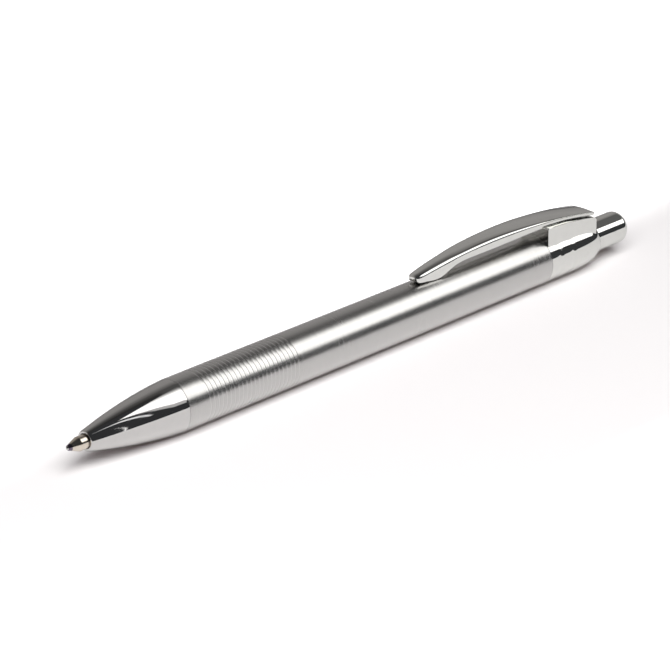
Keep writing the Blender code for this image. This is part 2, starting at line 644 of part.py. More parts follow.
def make_clip(group, chrome):
    stations = {clip_front + row[0] * CLIP_LENGTH for row in CLIP_OUTLINE_SHARES[1:-1]}
    stations |= {clip_front + CLIP_NOSE_ROUND * share for share in ROUND_STEP_SHARES}
    stations |= {clip_rear - CLIP_TAIL_ROUND * share for share in ROUND_STEP_SHARES}
    stations.add(clip_rear)
    clip = add_object("clip", loft([clip_section(station) for station in sorted(stations)]), group,
                      chrome)
    channel_front = clip_front + CLIP_CHANNEL_FRONT_SHARE * CLIP_LENGTH
    channel_rear = clip_front + CLIP_CHANNEL_REAR_SHARE * CLIP_LENGTH
    inside = sorted([station for station in stations if channel_front < station < channel_rear]
                    + [channel_front, channel_rear])
    channel = []
    for station in inside:
        width, top, depth, edge = clip_values(station)
        ceiling = top - CLIP_CROWN - CLIP_WALL
        floor = top - depth - OVERRUN
        wall = width - CLIP_WALL
        channel.append([(station, wall, floor), (station, wall, ceiling),
                        (station, -wall, ceiling), (station, -wall, floor)])
    combine(clip, loft(channel), "DIFFERENCE")
    width, top, depth, edge = clip_values(clip_pivot)
    lug_top = top - depth + CLIP_LUG_SINK
    lug = [(clip_pivot - CLIP_LUG_RADIUS, lug_top)]
    for step in range(HALF_ROUND_STEPS + 1):
        angle = math.pi * (1 + step / HALF_ROUND_STEPS)
        lug.append((clip_pivot + CLIP_LUG_RADIUS * math.cos(angle),
                    clip_pivot_height + CLIP_LUG_RADIUS * math.sin(angle)))
    lug.append((clip_pivot + CLIP_LUG_RADIUS, lug_top))
    combine(clip, extrude_outline(lug, POCKET_HALF_WIDTH - 2 * RUN_GAP), "UNION")
    foot_end = clip_front + CLIP_FOOT_CUT_SHARE * CLIP_LENGTH
    foot_radius = BARREL_RADIUS + CLIP_FOOT_GAP
    foot = [(clip_front - OVERRUN, 0), (clip_front - OVERRUN, foot_radius), (foot_end, foot_radius),
            (foot_end, 0)]
    combine(clip, turn(foot, 2 * OUTER_SIDES), "DIFFERENCE")
    combine(clip, cross_rod(clip_pivot, clip_pivot_height, CLIP_PIN_RADIUS + FIT_GAP,
                            POCKET_HALF_WIDTH), "DIFFERENCE")


def block_top(station):
    width, top, depth, edge = clip_values(station)
    return top - depth - CLIP_SEAT_GAP


def block_outline(inset):
    rear = block_rear - inset
    foot = BARREL_RADIUS - BLOCK_FOOT_DEPTH
    straight = block_rear - BLOCK_CORNER
    outline = [(block_front, foot)]
    for step in range(BLOCK_TOP_STEPS + 1):
        station = block_front + (straight - block_front) * step / BLOCK_TOP_STEPS
        outline.append((station, block_top(station) - inset))
    corner_top = block_top(straight) - inset
    for turned in QUARTER_ROUND:
        outline.append((straight + (rear - straight) * math.sin(turned),
                        corner_top - BLOCK_CORNER * (1 - math.cos(turned))))
    outline.append((rear, foot))
    return outline


def make_sleeve(group, chrome):
    curve_drop = RING_DROP * RING_CURVE_DROP_SHARE
    profile = [(sleeve_front, 0), (sleeve_front, BARREL_RADIUS - EDGE_CHAMFER),
               (sleeve_front + EDGE_CHAMFER, BARREL_RADIUS)]
    for index in range(RING_COUNT):
        front = sleeve_front + index * RING_PITCH
        rear = front + RING_PITCH
        profile += [(front + RING_PITCH * RING_FLAT_SHARE, BARREL_RADIUS),
                    (front + RING_PITCH * RING_CURVE_SHARE, BARREL_RADIUS - curve_drop),
                    (rear - EDGE_CHAMFER, BARREL_RADIUS - RING_DROP),
                    (rear + EDGE_CHAMFER, BARREL_RADIUS - curve_drop)]
    for step in range(SHOULDER_STEPS + 1):
        angle = math.pi / 2 * step / SHOULDER_STEPS
        profile.append((shoulder_front + SHOULDER_LENGTH * math.sin(angle),
                        sleeve_end_radius + (SHOULDER_DROP - curve_drop) * math.cos(angle)))
    profile.append((sleeve_rear, 0))
    sleeve = add_object("clip_sleeve", turn(profile, OUTER_SIDES), group, chrome)
    inner_half = BLOCK_HALF_WIDTH - BLOCK_EDGE
    across = ((-BLOCK_HALF_WIDTH, BLOCK_EDGE), (-inner_half, 0), (inner_half, 0),
              (BLOCK_HALF_WIDTH, BLOCK_EDGE))
    block = [[(station, offset, height) for station, height in block_outline(inset)]
             for offset, inset in across]
    combine(sleeve, loft(block), "UNION")
    bore = [(sleeve_front - OVERRUN, 0), (sleeve_front - OVERRUN, barrel_bore),
            (sleeve_bore_end, barrel_bore), (sleeve_bore_end, sleeve_hole),
            (sleeve_rear + OVERRUN, sleeve_hole), (sleeve_rear + OVERRUN, 0)]
    combine(sleeve, turn(bore, OUTER_SIDES), "DIFFERENCE")
    over = block_top(block_front) + OVERRUN
    pocket = [(pocket_front, over), (pocket_front, pocket_floor),
              (pocket_deep_front, pocket_floor), (pocket_deep_front, pocket_deep_floor),
              (pocket_rear, pocket_deep_floor), (pocket_rear, over)]
    combine(sleeve, extrude_outline(pocket, POCKET_HALF_WIDTH), "DIFFERENCE")
    combine(sleeve, cross_rod(clip_pivot, clip_pivot_height, CLIP_PIN_RADIUS + FIT_GAP / 2,
                              CLIP_PIN_HALF_LENGTH + SEAT_GAP), "DIFFERENCE")


def make_button_guide(group, plastic):
    guide = ring_profile(housing_rear + SEAT_GAP, sleeve_bore_end - SEAT_GAP, bush_radius,
                         sleeve_hole)
    add_object("button_guide", turn(guide, INNER_SIDES), group, plastic)


def make_clip_fittings(group, steel, spring_steel):
    pin = cross_rod(clip_pivot, clip_pivot_height, CLIP_PIN_RADIUS, CLIP_PIN_HALF_LENGTH)
    add_object("clip_pin", pin, group, steel)
    front = pocket_front + SEAT_GAP
    rear = clip_pivot - CLIP_LUG_RADIUS - 2 * RUN_GAP
    lower = []
    for step in range(LEAF_STEPS + 1):
        share = step / LEAF_STEPS
        lower.append((front + (rear - front) * share,
                      pocket_floor + SEAT_GAP + 4 * LEAF_ARCH * share * (1 - share)))
    upper = [(station, height + LEAF_THICKNESS) for station, height in reversed(lower)]
    leaf = extrude_outline(lower + upper, POCKET_HALF_WIDTH - 2 * RUN_GAP)
    add_object("clip_leaf_spring", leaf, group, spring_steel)


def make_pen():
    steel = principled("brushed_steel", (0.60, 0.59, 0.58), 1, 0.32)
    chrome = principled("polished_chrome", (0.80, 0.80, 0.80), 1, 0.08)
    nickel_silver = principled("nickel_silver", (0.66, 0.61, 0.55), 1, 0.22)
    carbide = principled("carbide", (0.30, 0.29, 0.28), 1, 0.15)
    brass = principled("brass", (0.72, 0.55, 0.27), 1, 0.3)
    spring_steel = principled("spring_steel", (0.50, 0.50, 0.50), 1, 0.25)
    black_plastic = principled("black_plastic", (0.03, 0.03, 0.03), 0, 0.4)
    white_plastic = principled("white_plastic", (0.75, 0.75, 0.72), 0, 0.45)
    ink = principled("blue_ink", (0.01, 0.03, 0.20), 0, 0.2)
    grease = principled("grease", (0.60, 0.50, 0.25), 0, 0.25)

    frame = new_group("pen_frame", -pen_length / 2, BARREL_RADIUS, None)
    body = new_group("fixed_body", 0, 0, frame)
    nose = new_group("nose_thread", nose_seam, 0, frame)
    refill = new_group("refill_axis", refill_shoulder, 0, frame)
    ball = new_group("ball_centre", BALL_RADIUS, 0, frame)
    rotor = new_group("rotor_axis", rotor_ring_rear, 0, frame)
    button = new_group("button_axis", sleeve_rear, 0, frame)
    hinge = new_group("clip_hinge", clip_pivot, clip_pivot_height, frame)

    make_barrel(body, steel)
    make_bushes(body, brass)
    make_sleeve(body, chrome)
    make_housing(body, white_plastic)
    make_button_guide(body, black_plastic)
    make_clip_fittings(body, steel, spring_steel)
    make_return_spring(body, spring_steel)
    make_nose(nose, chrome)
    make_point(refill, nickel_silver)
    make_refill(refill, brass, black_plastic, ink, grease)
    make_ball(ball, carbide)
    make_rotor(rotor, white_plastic)
    make_plunger(button, white_plastic)
    make_button(button, chrome)
    make_clip(hinge, chrome)


for old in list(bpy.data.objects):
    bpy.data.objects.remove(old)
make_pen()
print("pen length", round(pen_length * 1000, 3), "mm")
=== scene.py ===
# A stainless steel click pen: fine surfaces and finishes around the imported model, with light and camera
import math
import bmesh
import bpy
from mathutils import Matrix, Vector


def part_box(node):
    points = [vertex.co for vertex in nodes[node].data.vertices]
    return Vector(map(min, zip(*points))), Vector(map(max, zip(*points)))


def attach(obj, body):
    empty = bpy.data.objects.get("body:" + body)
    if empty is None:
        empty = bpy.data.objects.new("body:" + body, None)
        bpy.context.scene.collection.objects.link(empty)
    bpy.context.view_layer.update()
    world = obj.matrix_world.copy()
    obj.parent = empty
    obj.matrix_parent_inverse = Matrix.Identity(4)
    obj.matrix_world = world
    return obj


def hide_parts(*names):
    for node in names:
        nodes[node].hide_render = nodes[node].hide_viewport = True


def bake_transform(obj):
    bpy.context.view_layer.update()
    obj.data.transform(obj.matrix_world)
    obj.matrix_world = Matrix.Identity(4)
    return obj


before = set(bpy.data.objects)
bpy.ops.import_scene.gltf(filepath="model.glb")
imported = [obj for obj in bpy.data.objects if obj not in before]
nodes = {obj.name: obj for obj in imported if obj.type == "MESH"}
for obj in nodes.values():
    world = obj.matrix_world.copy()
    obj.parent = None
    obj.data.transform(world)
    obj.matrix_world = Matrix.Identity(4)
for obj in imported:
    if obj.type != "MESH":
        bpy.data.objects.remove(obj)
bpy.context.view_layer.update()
mm = 0.001

# Places that every piece shares, read from the frame
barrelLow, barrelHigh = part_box("barrel_tube")
sleeveLow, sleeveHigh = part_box("clip_sleeve")
noseLow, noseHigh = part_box("nose_cone")
clipLow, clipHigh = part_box("clip")
barrelRadius = (barrelHigh.z - barrelLow.z) / 2
axisZ = (barrelHigh.z + barrelLow.z) / 2
seamGap = 0.05 * mm
seamX = barrelLow.x - seamGap

# How finely the pieces are made
detail = {
    "outerSides": 192,
    "innerSides": 96,
    "arcSteps": 5,
    "filletReach": 1.5,
    "smoothAngle": math.radians(28),
    "weld": 0.0005 * mm,
}

studio = {
    "azimuth": -45.413,
    "elevation": 22.688,
    "roll": -0.61,
    "distance": 0.59844,
    "target": (-0.007257, 0, 0.005842),
    "lens": 180.92,
    "sensor": 36,
    "clipStart": 0.01,
    "clipEnd": 30,
    "rigRadius": 0.9,
    "floorSize": 8,
    "floorTone": (0.8, 0.787, 0.787),
    "floorRoughness": 0.9,
    "floorLift": (0.025, 0.012, 0.012),
    "farLift": (1, 1, 1),
    "farCentre": (0, 0.025, 0),
    "farReach": (0.030, 0.055),
    "farScale": (0.15, 1, 0),
    "mirroredLift": 0.05,
    "keySize": (2.4, 0.84),
    "keyDistance": 1.05,
    "keyShift": -0.5,
    "keyTilt": 30,
    "keyRadiance": 5.3,
    "roomTone": (0.045, 0.047, 0.05),
}

# Glowing cards round the pen. A corner is a place along the pen, in metres, and an angle from straight
# up, in degrees towards the camera's side; a card may fade, by shares from its highest angle on
cards = {
    "softbox": {"radiance": 2.3, "tint": (1, 0.998, 0.985),
                "fade": ((0, 0.6), (0.05, 0.85), (0.12, 1), (0.6, 1), (0.66, 0.92), (0.72, 0.66),
                         (0.8, 0.3), (0.88, 0.12), (1, 0.05)),
                "corners": ((0.20, 22), (0.30, 38), (0.42, 54), (0.50, 60), (0.62, 60.5), (0.72, 59.5),
                            (0.83, 58), (1.9, 58), (1.9, -6), (0.72, -6), (0.50, -4), (0.42, 3),
                            (0.35, 9))},
    "softboxHaze": {"radiance": 0.7, "tint": (1, 1, 1),
                    "corners": ((0.22, 26), (0.33, 52), (0.42, 66), (0.55, 68), (0.55, 58),
                                (0.42, 54), (0.30, 38))},
    "rimLine": {"radiance": 1.5, "tint": (0.97, 0.98, 1),
                "corners": ((0.08, 24), (0.17, 34), (0.24, 48), (0.30, 64), (0.315, 64),
                            (0.26, 46), (0.19, 31))},
    "edgeLine": {"radiance": 1.8, "tint": (1, 1, 1),
                 "corners": ((0.15, 55), (0.188, 76), (0.196, 91), (0.204, 91), (0.198, 76))},
    "softboxFoot": {"radiance": 0.11, "tint": (1, 0.99, 0.98),
                    "corners": ((0.42, 3), (0.50, -4), (0.72, -6), (2.0, -6), (2.0, -24), (0.72, -24),
                                (0.44, -14))},
    "wall": {"radiance": 1.0, "tint": (1, 0.975, 0.962),
             "fade": ((0.08, 0.04), (0.26, 0.12), (0.5, 0.38), (0.72, 0.42), (0.88, 0.38), (1, 0.3)),
             "corners": ((-1.5, -88), (3.0, -88), (3.0, 0), (-1.5, 0))},
    "buttonFlag": {"radiance": 0.14, "tint": (1, 1, 1), "radius": 0.05,
                   "corners": ((0.0895, -20), (0.0895, 31), (0.14, 31), (0.14, -20))},
}


def cleanSlate():
    if bpy.context.mode != "OBJECT":
        bpy.ops.object.mode_set(mode="OBJECT")
    bpy.ops.object.select_all(action="DESELECT")


def focus(piece):
    cleanSlate()
    piece.select_set(True)
    bpy.context.view_layer.objects.active = piece


def settle(piece):
    # the piece's place goes into its mesh
    focus(piece)
    bpy.ops.object.transform_apply(location=True, rotation=True, scale=True)
    return piece


def openEdit(piece):
    focus(piece)
    bpy.ops.object.mode_set(mode="EDIT")
    bpy.ops.mesh.select_mode(type="VERT")
    bpy.ops.mesh.select_all(action="DESELECT")


def pick(test, part="verts"):
    # selects the vertices, edges or faces that pass, and nothing else
    bpy.ops.mesh.select_all(action="DESELECT")
    bpy.ops.mesh.select_mode(type={"verts": "VERT", "edges": "EDGE", "faces": "FACE"}[part])
    mesh = bmesh.from_edit_mesh(bpy.context.edit_object.data)
    for element in getattr(mesh, part):
        if test(element):
            element.select_set(True)
    bmesh.update_edit_mesh(bpy.context.edit_object.data)


def cut(point, normal):
    # every face in the open edit gets an edge where the plane crosses it
    bpy.ops.mesh.select_all(action="SELECT")
    bpy.ops.mesh.bisect(plane_co=point, plane_no=normal)


def faceOutwards():
    bpy.ops.mesh.select_all(action="SELECT")
    bpy.ops.mesh.normals_make_consistent(inside=False)


def cuboid(centre, size):
    cleanSlate()
    bpy.ops.mesh.primitive_cube_add(size=1, location=centre, scale=size)
    return settle(bpy.context.object)


def rod(sides, radius, length, centre, rotation):
    cleanSlate()
    bpy.ops.mesh.primitive_cylinder_add(vertices=sides, radius=radius, depth=length, location=centre,
                                        rotation=rotation)
    return settle(bpy.context.object)


def span(edge, axis):
    # how far an edge runs along an axis
    return abs(edge.verts[0].co[axis] - edge.verts[1].co[axis])


def applyModifier(piece, kind, **settings):
    focus(piece)
    modifier = piece.modifiers.new(kind.title(), kind)
    for setting, value in settings.items():
        setattr(modifier, setting, value)
    bpy.ops.object.modifier_apply(modifier=modifier.name)


def combine(piece, tool, operation):
    applyModifier(piece, "BOOLEAN", operation=operation, solver="EXACT", object=tool)
    bpy.data.objects.remove(tool)


def coat(piece, slot, look=None):
    # the finish is the slot's own unless another is named
    piece.data.materials.clear()
    piece.data.materials.append(finishes[look or slot])


def finishPiece(piece, name, body, slot, node, look=None):
    settle(piece)
    piece.name = name
    piece.data.name = name
    bpy.ops.object.shade_smooth_by_angle(angle=detail["smoothAngle"])
    if body:
        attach(piece, body)
    coat(piece, slot, look)
    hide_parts(node)
    print("made", name, len(piece.data.polygons), "faces")


def arc(centreX, centreR, radius, start, end, steps, radiusR=None):
    # points on a round or oval stretch, angles in degrees from the pen's rear end outwards
    across = radius if radiusR is None else radiusR
    points = []
    for step in range(steps + 1):
        angle = math.radians(start + (end - start) * step / steps)
        points.append((centreX + radius * math.cos(angle), centreR + across * math.sin(angle)))
    return points


def rounded(corners):
    # corners are (x, radius, fillet): each fillet becomes an arc, with a point beside it that keeps
    # the flat next to it flat in the shading
    outline = []
    for index, (x, r, fillet) in enumerate(corners):
        here = Vector((x, r))
        if not fillet or index in (0, len(corners) - 1):
            outline.append((x, r))
            continue
        back = (Vector(corners[index - 1][:2]) - here).normalized()
        ahead = (Vector(corners[index + 1][:2]) - here).normalized()
        half = math.acos(max(-1, min(1, back.dot(ahead)))) / 2
        reach = fillet / math.tan(half)
        centre = here + (back + ahead).normalized() * fillet / math.sin(half)
        start = here + back * reach - centre
        turn = math.pi - 2 * half
        if back.cross(ahead) > 0:
            turn = -turn
        outline.append(tuple(here + back * reach * detail["filletReach"]))
        for step in range(detail["arcSteps"] + 1):
            spoke = Matrix.Rotation(turn * step / detail["arcSteps"], 2) @ start
            outline.append(tuple(centre + spoke))
        outline.append(tuple(here + ahead * reach * detail["filletReach"]))
    return outline


def turned(outline, sides):
    # a vertex is drawn along the outline of (x, radius) points and spun round the pen's axis
    cleanSlate()
    x, r = outline[0]
    bpy.ops.mesh.primitive_plane_add(size=mm, location=(x, 0, axisZ + r))
    piece = settle(bpy.context.object)
    openEdit(piece)
    bpy.ops.mesh.select_all(action="SELECT")
    bpy.ops.mesh.merge(type="CENTER")
    for (x, r), (nextX, nextR) in zip(outline, outline[1:]):
        bpy.ops.mesh.extrude_vertices_move(TRANSFORM_OT_translate={"value": (nextX - x, 0, nextR - r)})
    bpy.ops.mesh.select_all(action="SELECT")
    bpy.ops.mesh.spin(steps=sides, angle=math.tau, center=(0, 0, axisZ), axis=(1, 0, 0))
    bpy.ops.mesh.select_all(action="SELECT")
    bpy.ops.mesh.remove_doubles(threshold=detail["weld"])
    faceOutwards()
    cleanSlate()
    return piece


def closed(outline):
    # joins the end of an outline to its start
    return outline + [outline[0]]


class Wire:
    # a socket whose arithmetic adds Math nodes
    def __init__(self, graph, socket):
        self.graph = graph
        self.socket = socket

    def __add__(self, other):
        return self.graph.maths("ADD", self, other)

    def __sub__(self, other):
        return self.graph.maths("SUBTRACT", self, other)

    def __mul__(self, other):
        return self.graph.maths("MULTIPLY", self, other)


class Graph:
    # the node tree of a material or of the world, with the shader that it feeds
    def __init__(self, tree, shader):
        self.tree = tree
        self.shader = tree.nodes[shader]

    def node(self, kind, settings, values, output=0):
        node = self.tree.nodes.new(kind)
        for setting, value in settings.items():
            if setting == "stops":
                ramp = node.color_ramp
                while len(ramp.elements) < len(value):
                    ramp.elements.new(1)
                for element, (place, tone) in zip(ramp.elements, value):
                    element.position = place
                    element.color = (tone, tone, tone, 1)
            else:
                setattr(node, setting, value)
        for socket, value in values.items():
            if isinstance(value, Wire):
                self.tree.links.new(value.socket, node.inputs[socket])
            else:
                node.inputs[socket].default_value = value
        return Wire(self, node.outputs[output])

    def maths(self, operation, first, second):
        return self.node("ShaderNodeMath", {"operation": operation}, {0: first, 1: second})

    def mixed(self, factor, first, second):
        # the two are colours or links
        first, second = (value if isinstance(value, Wire) else (*value, 1) for value in (first, second))
        return self.node("ShaderNodeMix", {"data_type": "RGBA"}, {0: factor, 6: first, 7: second}, 2)

    def feed(self, socket, value):
        self.tree.links.new(value.socket, self.shader.inputs[socket])


class Finish(Graph):
    # a material on the Principled shader, with its constants on the shader's own sockets
    def __init__(self, name, colour, metallic, roughness, **constants):
        self.material = bpy.data.materials.new(name)
        self.material.use_nodes = True
        super().__init__(self.material.node_tree, "Principled BSDF")
        self.shader.inputs["Base Color"].default_value = (*colour, 1)
        self.shader.inputs["Metallic"].default_value = metallic
        self.shader.inputs["Roughness"].default_value = roughness
        for socket, value in constants.items():
            self.shader.inputs[socket.replace("_", " ")].default_value = value

    def places(self, scale, shift=(0, 0, 0)):
        # the object's own coordinates, scaled to a pattern
        coordinates = self.node("ShaderNodeTexCoord", {}, {}, "Object")
        return self.node("ShaderNodeMapping", {}, {"Vector": coordinates, "Location": shift,
                                                   "Scale": scale})

    def noise(self, scale, detailLevel=2.0, roughness=0.5, shift=(0, 0, 0)):
        return self.node("ShaderNodeTexNoise", {}, {"Vector": self.places(scale, shift), "Scale": 1.0,
                                                    "Detail": detailLevel, "Roughness": roughness})

    def ranged(self, value, fromLow, fromHigh, toLow, toHigh):
        return self.node("ShaderNodeMapRange", {"interpolation_type": "SMOOTHSTEP"},
                         {"Value": value, "From Min": fromLow, "From Max": fromHigh,
                          "To Min": toLow, "To Max": toHigh})

    def graded(self, value, low, high, first, second):
        # from the first colour to the second as the value goes from low to high
        return self.mixed(self.ranged(value, low, high, 0, 1), first, second)

    def bump(self, height, distance):
        bump = self.node("ShaderNodeBump", {}, {"Height": height, "Distance": distance,
                                                "Strength": 1.0})
        self.feed("Normal", bump)


# Noise patterns: how many to the metre along each axis, detail, roughness and where they start
patterns = {
    "coarse": ((5200, 180, 180), 2.0, 0.6),
    "fine": ((12000, 420, 420), 2.0, 0.7, (3, 1, 2)),
    "cloud": ((160, 220, 220), 2.0, 0.5, (7, 0, 4)),
    "haze": ((900, 900, 900), 3.0, 0.6),
    "wave": ((210, 260, 260), 1.0, 0.4, (2, 5, 1)),
    "pointLines": ((5200, 60, 60), 2.0, 0.6),
    "brassLines": ((3800, 60, 60), 2.0, 0.6),
    "stain": ((500, 500, 500), 3.0, 0.6, (1, 2, 3)),
    "drift": ((350, 350, 350), 2.0, 0.5, (4, 1, 6)),
}

# Metals, with linear tones. A spread is how far a pattern moves the roughness, a drop is where its
# low end lies below the roughness given, and a depth is how far its bumps stand
metals = {
    # for brushed steel, cut is the tone of a painted highlight in the grooves, and shade that of a
    # painted shade line
    "brushed": {"tone": (0.54, 0.53, 0.52), "worn": (0.50, 0.49, 0.48), "roughness": 0.26,
                "cut": (0.62, 0.61, 0.60), "shade": (0.44, 0.434, 0.428), "coarseShare": 0.6,
                "lineSpread": 0.06, "cloudSpread": 0.05, "drop": 0.055, "depth": 0.00008 * mm},
    "chrome": {"tone": (0.71, 0.708, 0.683), "hazed": (0.69, 0.688, 0.664), "roughness": 0.035,
               "spread": 0.05, "depth": 0.002 * mm},
    # the nose's chrome is a darker copy of the chrome: painted shade, for the darker floor that the nose
    # mirrors
    "shadedNoseChrome": {"tone": (0.575, 0.565, 0.555), "hazed": (0.56, 0.55, 0.54), "roughness": 0.035,
                   "spread": 0.05, "depth": 0.002 * mm},
    "nickelSilver": {"tone": (0.68, 0.61, 0.53), "worn": (0.58, 0.51, 0.43), "roughness": 0.17,
                     "lines": "pointLines", "spread": 0.12, "drop": 0.05, "depth": 0.0015 * mm,
                     # the last three darken the point from the ball back over the collar
                     "ink": (0.16, 0.13, 0.17), "darkCollarEnd": 0.62 * mm, "darkCollarFade": 0.12 * mm},
    "brass": {"tone": (0.70, 0.50, 0.22), "worn": (0.55, 0.38, 0.15), "roughness": 0.28,
              "lines": "brassLines", "spread": 0.12, "drop": 0.05, "depth": 0.0015 * mm},
    "plain": {"spread": 0.10, "drop": 0.05},
}

barrel = {
    "wall": 0.7 * mm,
    "edge": 0.03 * mm,
    "grooveCount": 23,
    "grooveStart": 4.8 * mm,
    "groovePitch": 0.97 * mm,
    "grooveWidth": 0.5 * mm,
    "grooveDepth": 0.05 * mm,
    "grooveFall": 0.9,
    "grooveSteps": 10,
    "grooveMargin": 0.1,
    # where in each groove the painted highlight rises and falls, and where the painted shade line ends
    "brightRise": (0.10, 0.16),
    "brightFall": (0.22, 0.32),
    "darkEnd": 0.12,
}
grooveX = barrelLow.x + barrel["grooveStart"] - barrel["grooveWidth"] / 2


def brushedSteel():
    look = metals["brushed"]
    finish = Finish("brushedSteel", look["tone"], 1, look["roughness"])
    coarse, fine, cloud = (finish.noise(*patterns[name]) for name in ("coarse", "fine", "cloud"))
    lines = coarse * look["coarseShare"] + fine * (1 - look["coarseShare"])
    grain = finish.graded(lines, 0.35, 0.65, look["worn"], look["tone"])
    # the grooves get a painted highlight on one flank and a painted shade line beside it, for the light
    # they catch and the shade inside them
    along = finish.node("ShaderNodeSeparateXYZ", {}, {0: finish.places((1, 1, 1))}, 0)
    grooveEnd = grooveX + barrel["grooveCount"] * barrel["groovePitch"]
    inside = (finish.ranged(along, grooveX - barrel["edge"], grooveX, 0, 1)
              * finish.ranged(along, grooveEnd - barrel["edge"], grooveEnd, 1, 0))
    turns = finish.maths("FRACT", (along - grooveX) * (1 / barrel["groovePitch"]), 0)
    paintedHighlight = (finish.ranged(turns, *barrel["brightRise"], 0, 1)
              * finish.ranged(turns, *barrel["brightFall"], 1, 0) * inside)
    paintedShade = finish.ranged(turns, 0.0, barrel["darkEnd"], 1, 0) * inside
    finish.feed("Base Color", finish.mixed(paintedHighlight, finish.mixed(paintedShade, grain, look["shade"]),
                                           look["cut"]))
    finish.feed("Roughness", lines * look["lineSpread"] + cloud * look["cloudSpread"]
                + (look["roughness"] - look["drop"]))
    finish.bump(coarse, look["depth"])
    return finish.material


def polishedChrome(name, look):
    finish = Finish(name, look["tone"], 1, look["roughness"],
                    Specular_Tint=(0.8, 0.8, 0.8, 1))
    haze = finish.noise(*patterns["haze"])
    wave = finish.noise(*patterns["wave"])
    finish.feed("Base Color", finish.graded(haze, 0.4, 0.75, look["tone"], look["hazed"]))
    finish.feed("Roughness", finish.ranged(haze, 0.35, 0.8, look["roughness"],
                                           look["roughness"] + look["spread"]))
    finish.bump(wave, look["depth"])
    return finish.material


def turnedMetal(name, look):
    finish = Finish(name, look["tone"], 1, look["roughness"])
    lines = finish.noise(*patterns[look["lines"]])
    stain = finish.noise(*patterns["stain"])
    tone = finish.graded(stain, 0.4, 0.8, look["tone"], look["worn"])
    if "darkCollarEnd" in look:
        # the point is darker from the ball back over the collar, fading out at the collar's rear edge
        along = finish.node("ShaderNodeSeparateXYZ", {}, {0: finish.places((1, 1, 1))}, 0)
        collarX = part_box("refill_point")[0].x + look["darkCollarEnd"]
        tone = finish.mixed(finish.ranged(along, collarX - look["darkCollarFade"], collarX, 1, 0), tone,
                            look["ink"])
    finish.feed("Base Color", tone)
    finish.feed("Roughness", lines * look["spread"] + (look["roughness"] - look["drop"]))
    finish.bump(lines, look["depth"])
    return finish.material


def plainFinish(name, colour, shade, metallic, roughness, grain, depth, **constants):
    # for moulded plastic, drawn wire, carbide, ink and grease: a fine grain and a slow drift of tone
    finish = Finish(name, colour, metallic, roughness, **constants)
    fine = finish.noise((grain, grain, grain), 2.0, 0.6)
    drift = finish.noise(*patterns["drift"])
    finish.feed("Base Color", finish.graded(drift, 0.35, 0.7, colour, shade))
    finish.feed("Roughness", fine * metals["plain"]["spread"] + (roughness - metals["plain"]["drop"]))
    finish.bump(fine, depth)
    return finish.material


nose = {
    "mouthBore": 1.4 * mm,
    "mouthRing": 1.58 * mm,
    "mouthFillet": 0.3 * mm,
    "mouthSteps": 8,
    "bulge": 0.46 * mm,
    "ogiveSteps": 44,
    "edge": 0.03 * mm,
    "spigotRadius": 3.6 * mm,
    "reliefLength": 0.9 * mm,
    "reliefDepth": 0.16 * mm,
    "threadPitch": 0.5 * mm,
    "threadTurns": 9,
    "threadDepth": 0.13 * mm,
    "threadCrest": 0.1,
    "threadRunOut": 0.4,
    "chamberFront": 4.1 * mm,
    "chamberRear": 13.9 * mm,
    "chamberBore": 2.3 * mm,
    "rearBore": 3.15 * mm,
}


def makeNose():
    mouthX, fillet, edge = noseLow.x, nose["mouthFillet"], nose["edge"]
    spigot, bore, pitch = nose["spigotRadius"], nose["chamberBore"], nose["threadPitch"]
    rise = barrelRadius - nose["mouthRing"] - fillet + 4 * nose["bulge"]
    slope = math.degrees(math.atan2(rise, seamX - mouthX - fillet))
    outline = [(mouthX, nose["mouthBore"])]
    outline += arc(mouthX + fillet, nose["mouthRing"], fillet, 180, 90 + slope, nose["mouthSteps"])
    startX, startR = outline[-1]
    endX = seamX - edge
    for step in range(1, nose["ogiveSteps"] + 1):
        share = step / nose["ogiveSteps"]
        swell = 4 * nose["bulge"] * share * (1 - share)
        outline.append((startX + (endX - startX) * share,
                        startR + (barrelRadius - startR) * share + swell))
    outline += arc(endX, barrelRadius - edge, edge, 80, 0, detail["arcSteps"])
    relief = spigot - nose["reliefDepth"]
    threadX = seamX + nose["reliefLength"]
    outline += [(seamX, relief), (threadX, relief)]
    for turn in range(nose["threadTurns"]):
        crestX = threadX + (turn + 0.5) * pitch
        flat = pitch * nose["threadCrest"]
        outline += [(crestX - flat, spigot), (crestX + flat, spigot),
                    (crestX + pitch / 2, spigot - nose["threadDepth"])]
    threadEndX = threadX + (nose["threadTurns"] + nose["threadRunOut"]) * pitch
    chamberFront, chamberRear = mouthX + nose["chamberFront"], mouthX + nose["chamberRear"]
    outline += [(threadEndX, spigot)]
    outline += rounded([(threadEndX + seamGap, spigot, 0), (noseHigh.x, spigot, 2 * edge),
                        (noseHigh.x, nose["rearBore"], edge), (chamberRear, nose["rearBore"], 0)])
    outline += [(chamberRear, bore), (chamberFront, bore), (chamberFront, nose["mouthBore"])]
    piece = turned(closed(outline), detail["outerSides"])
    # the nose takes the darker copy of the chrome, which is painted shade
    finishPiece(piece, "noseShell", "nose", "polished_chrome", "nose_cone", "shaded_nose_chrome")


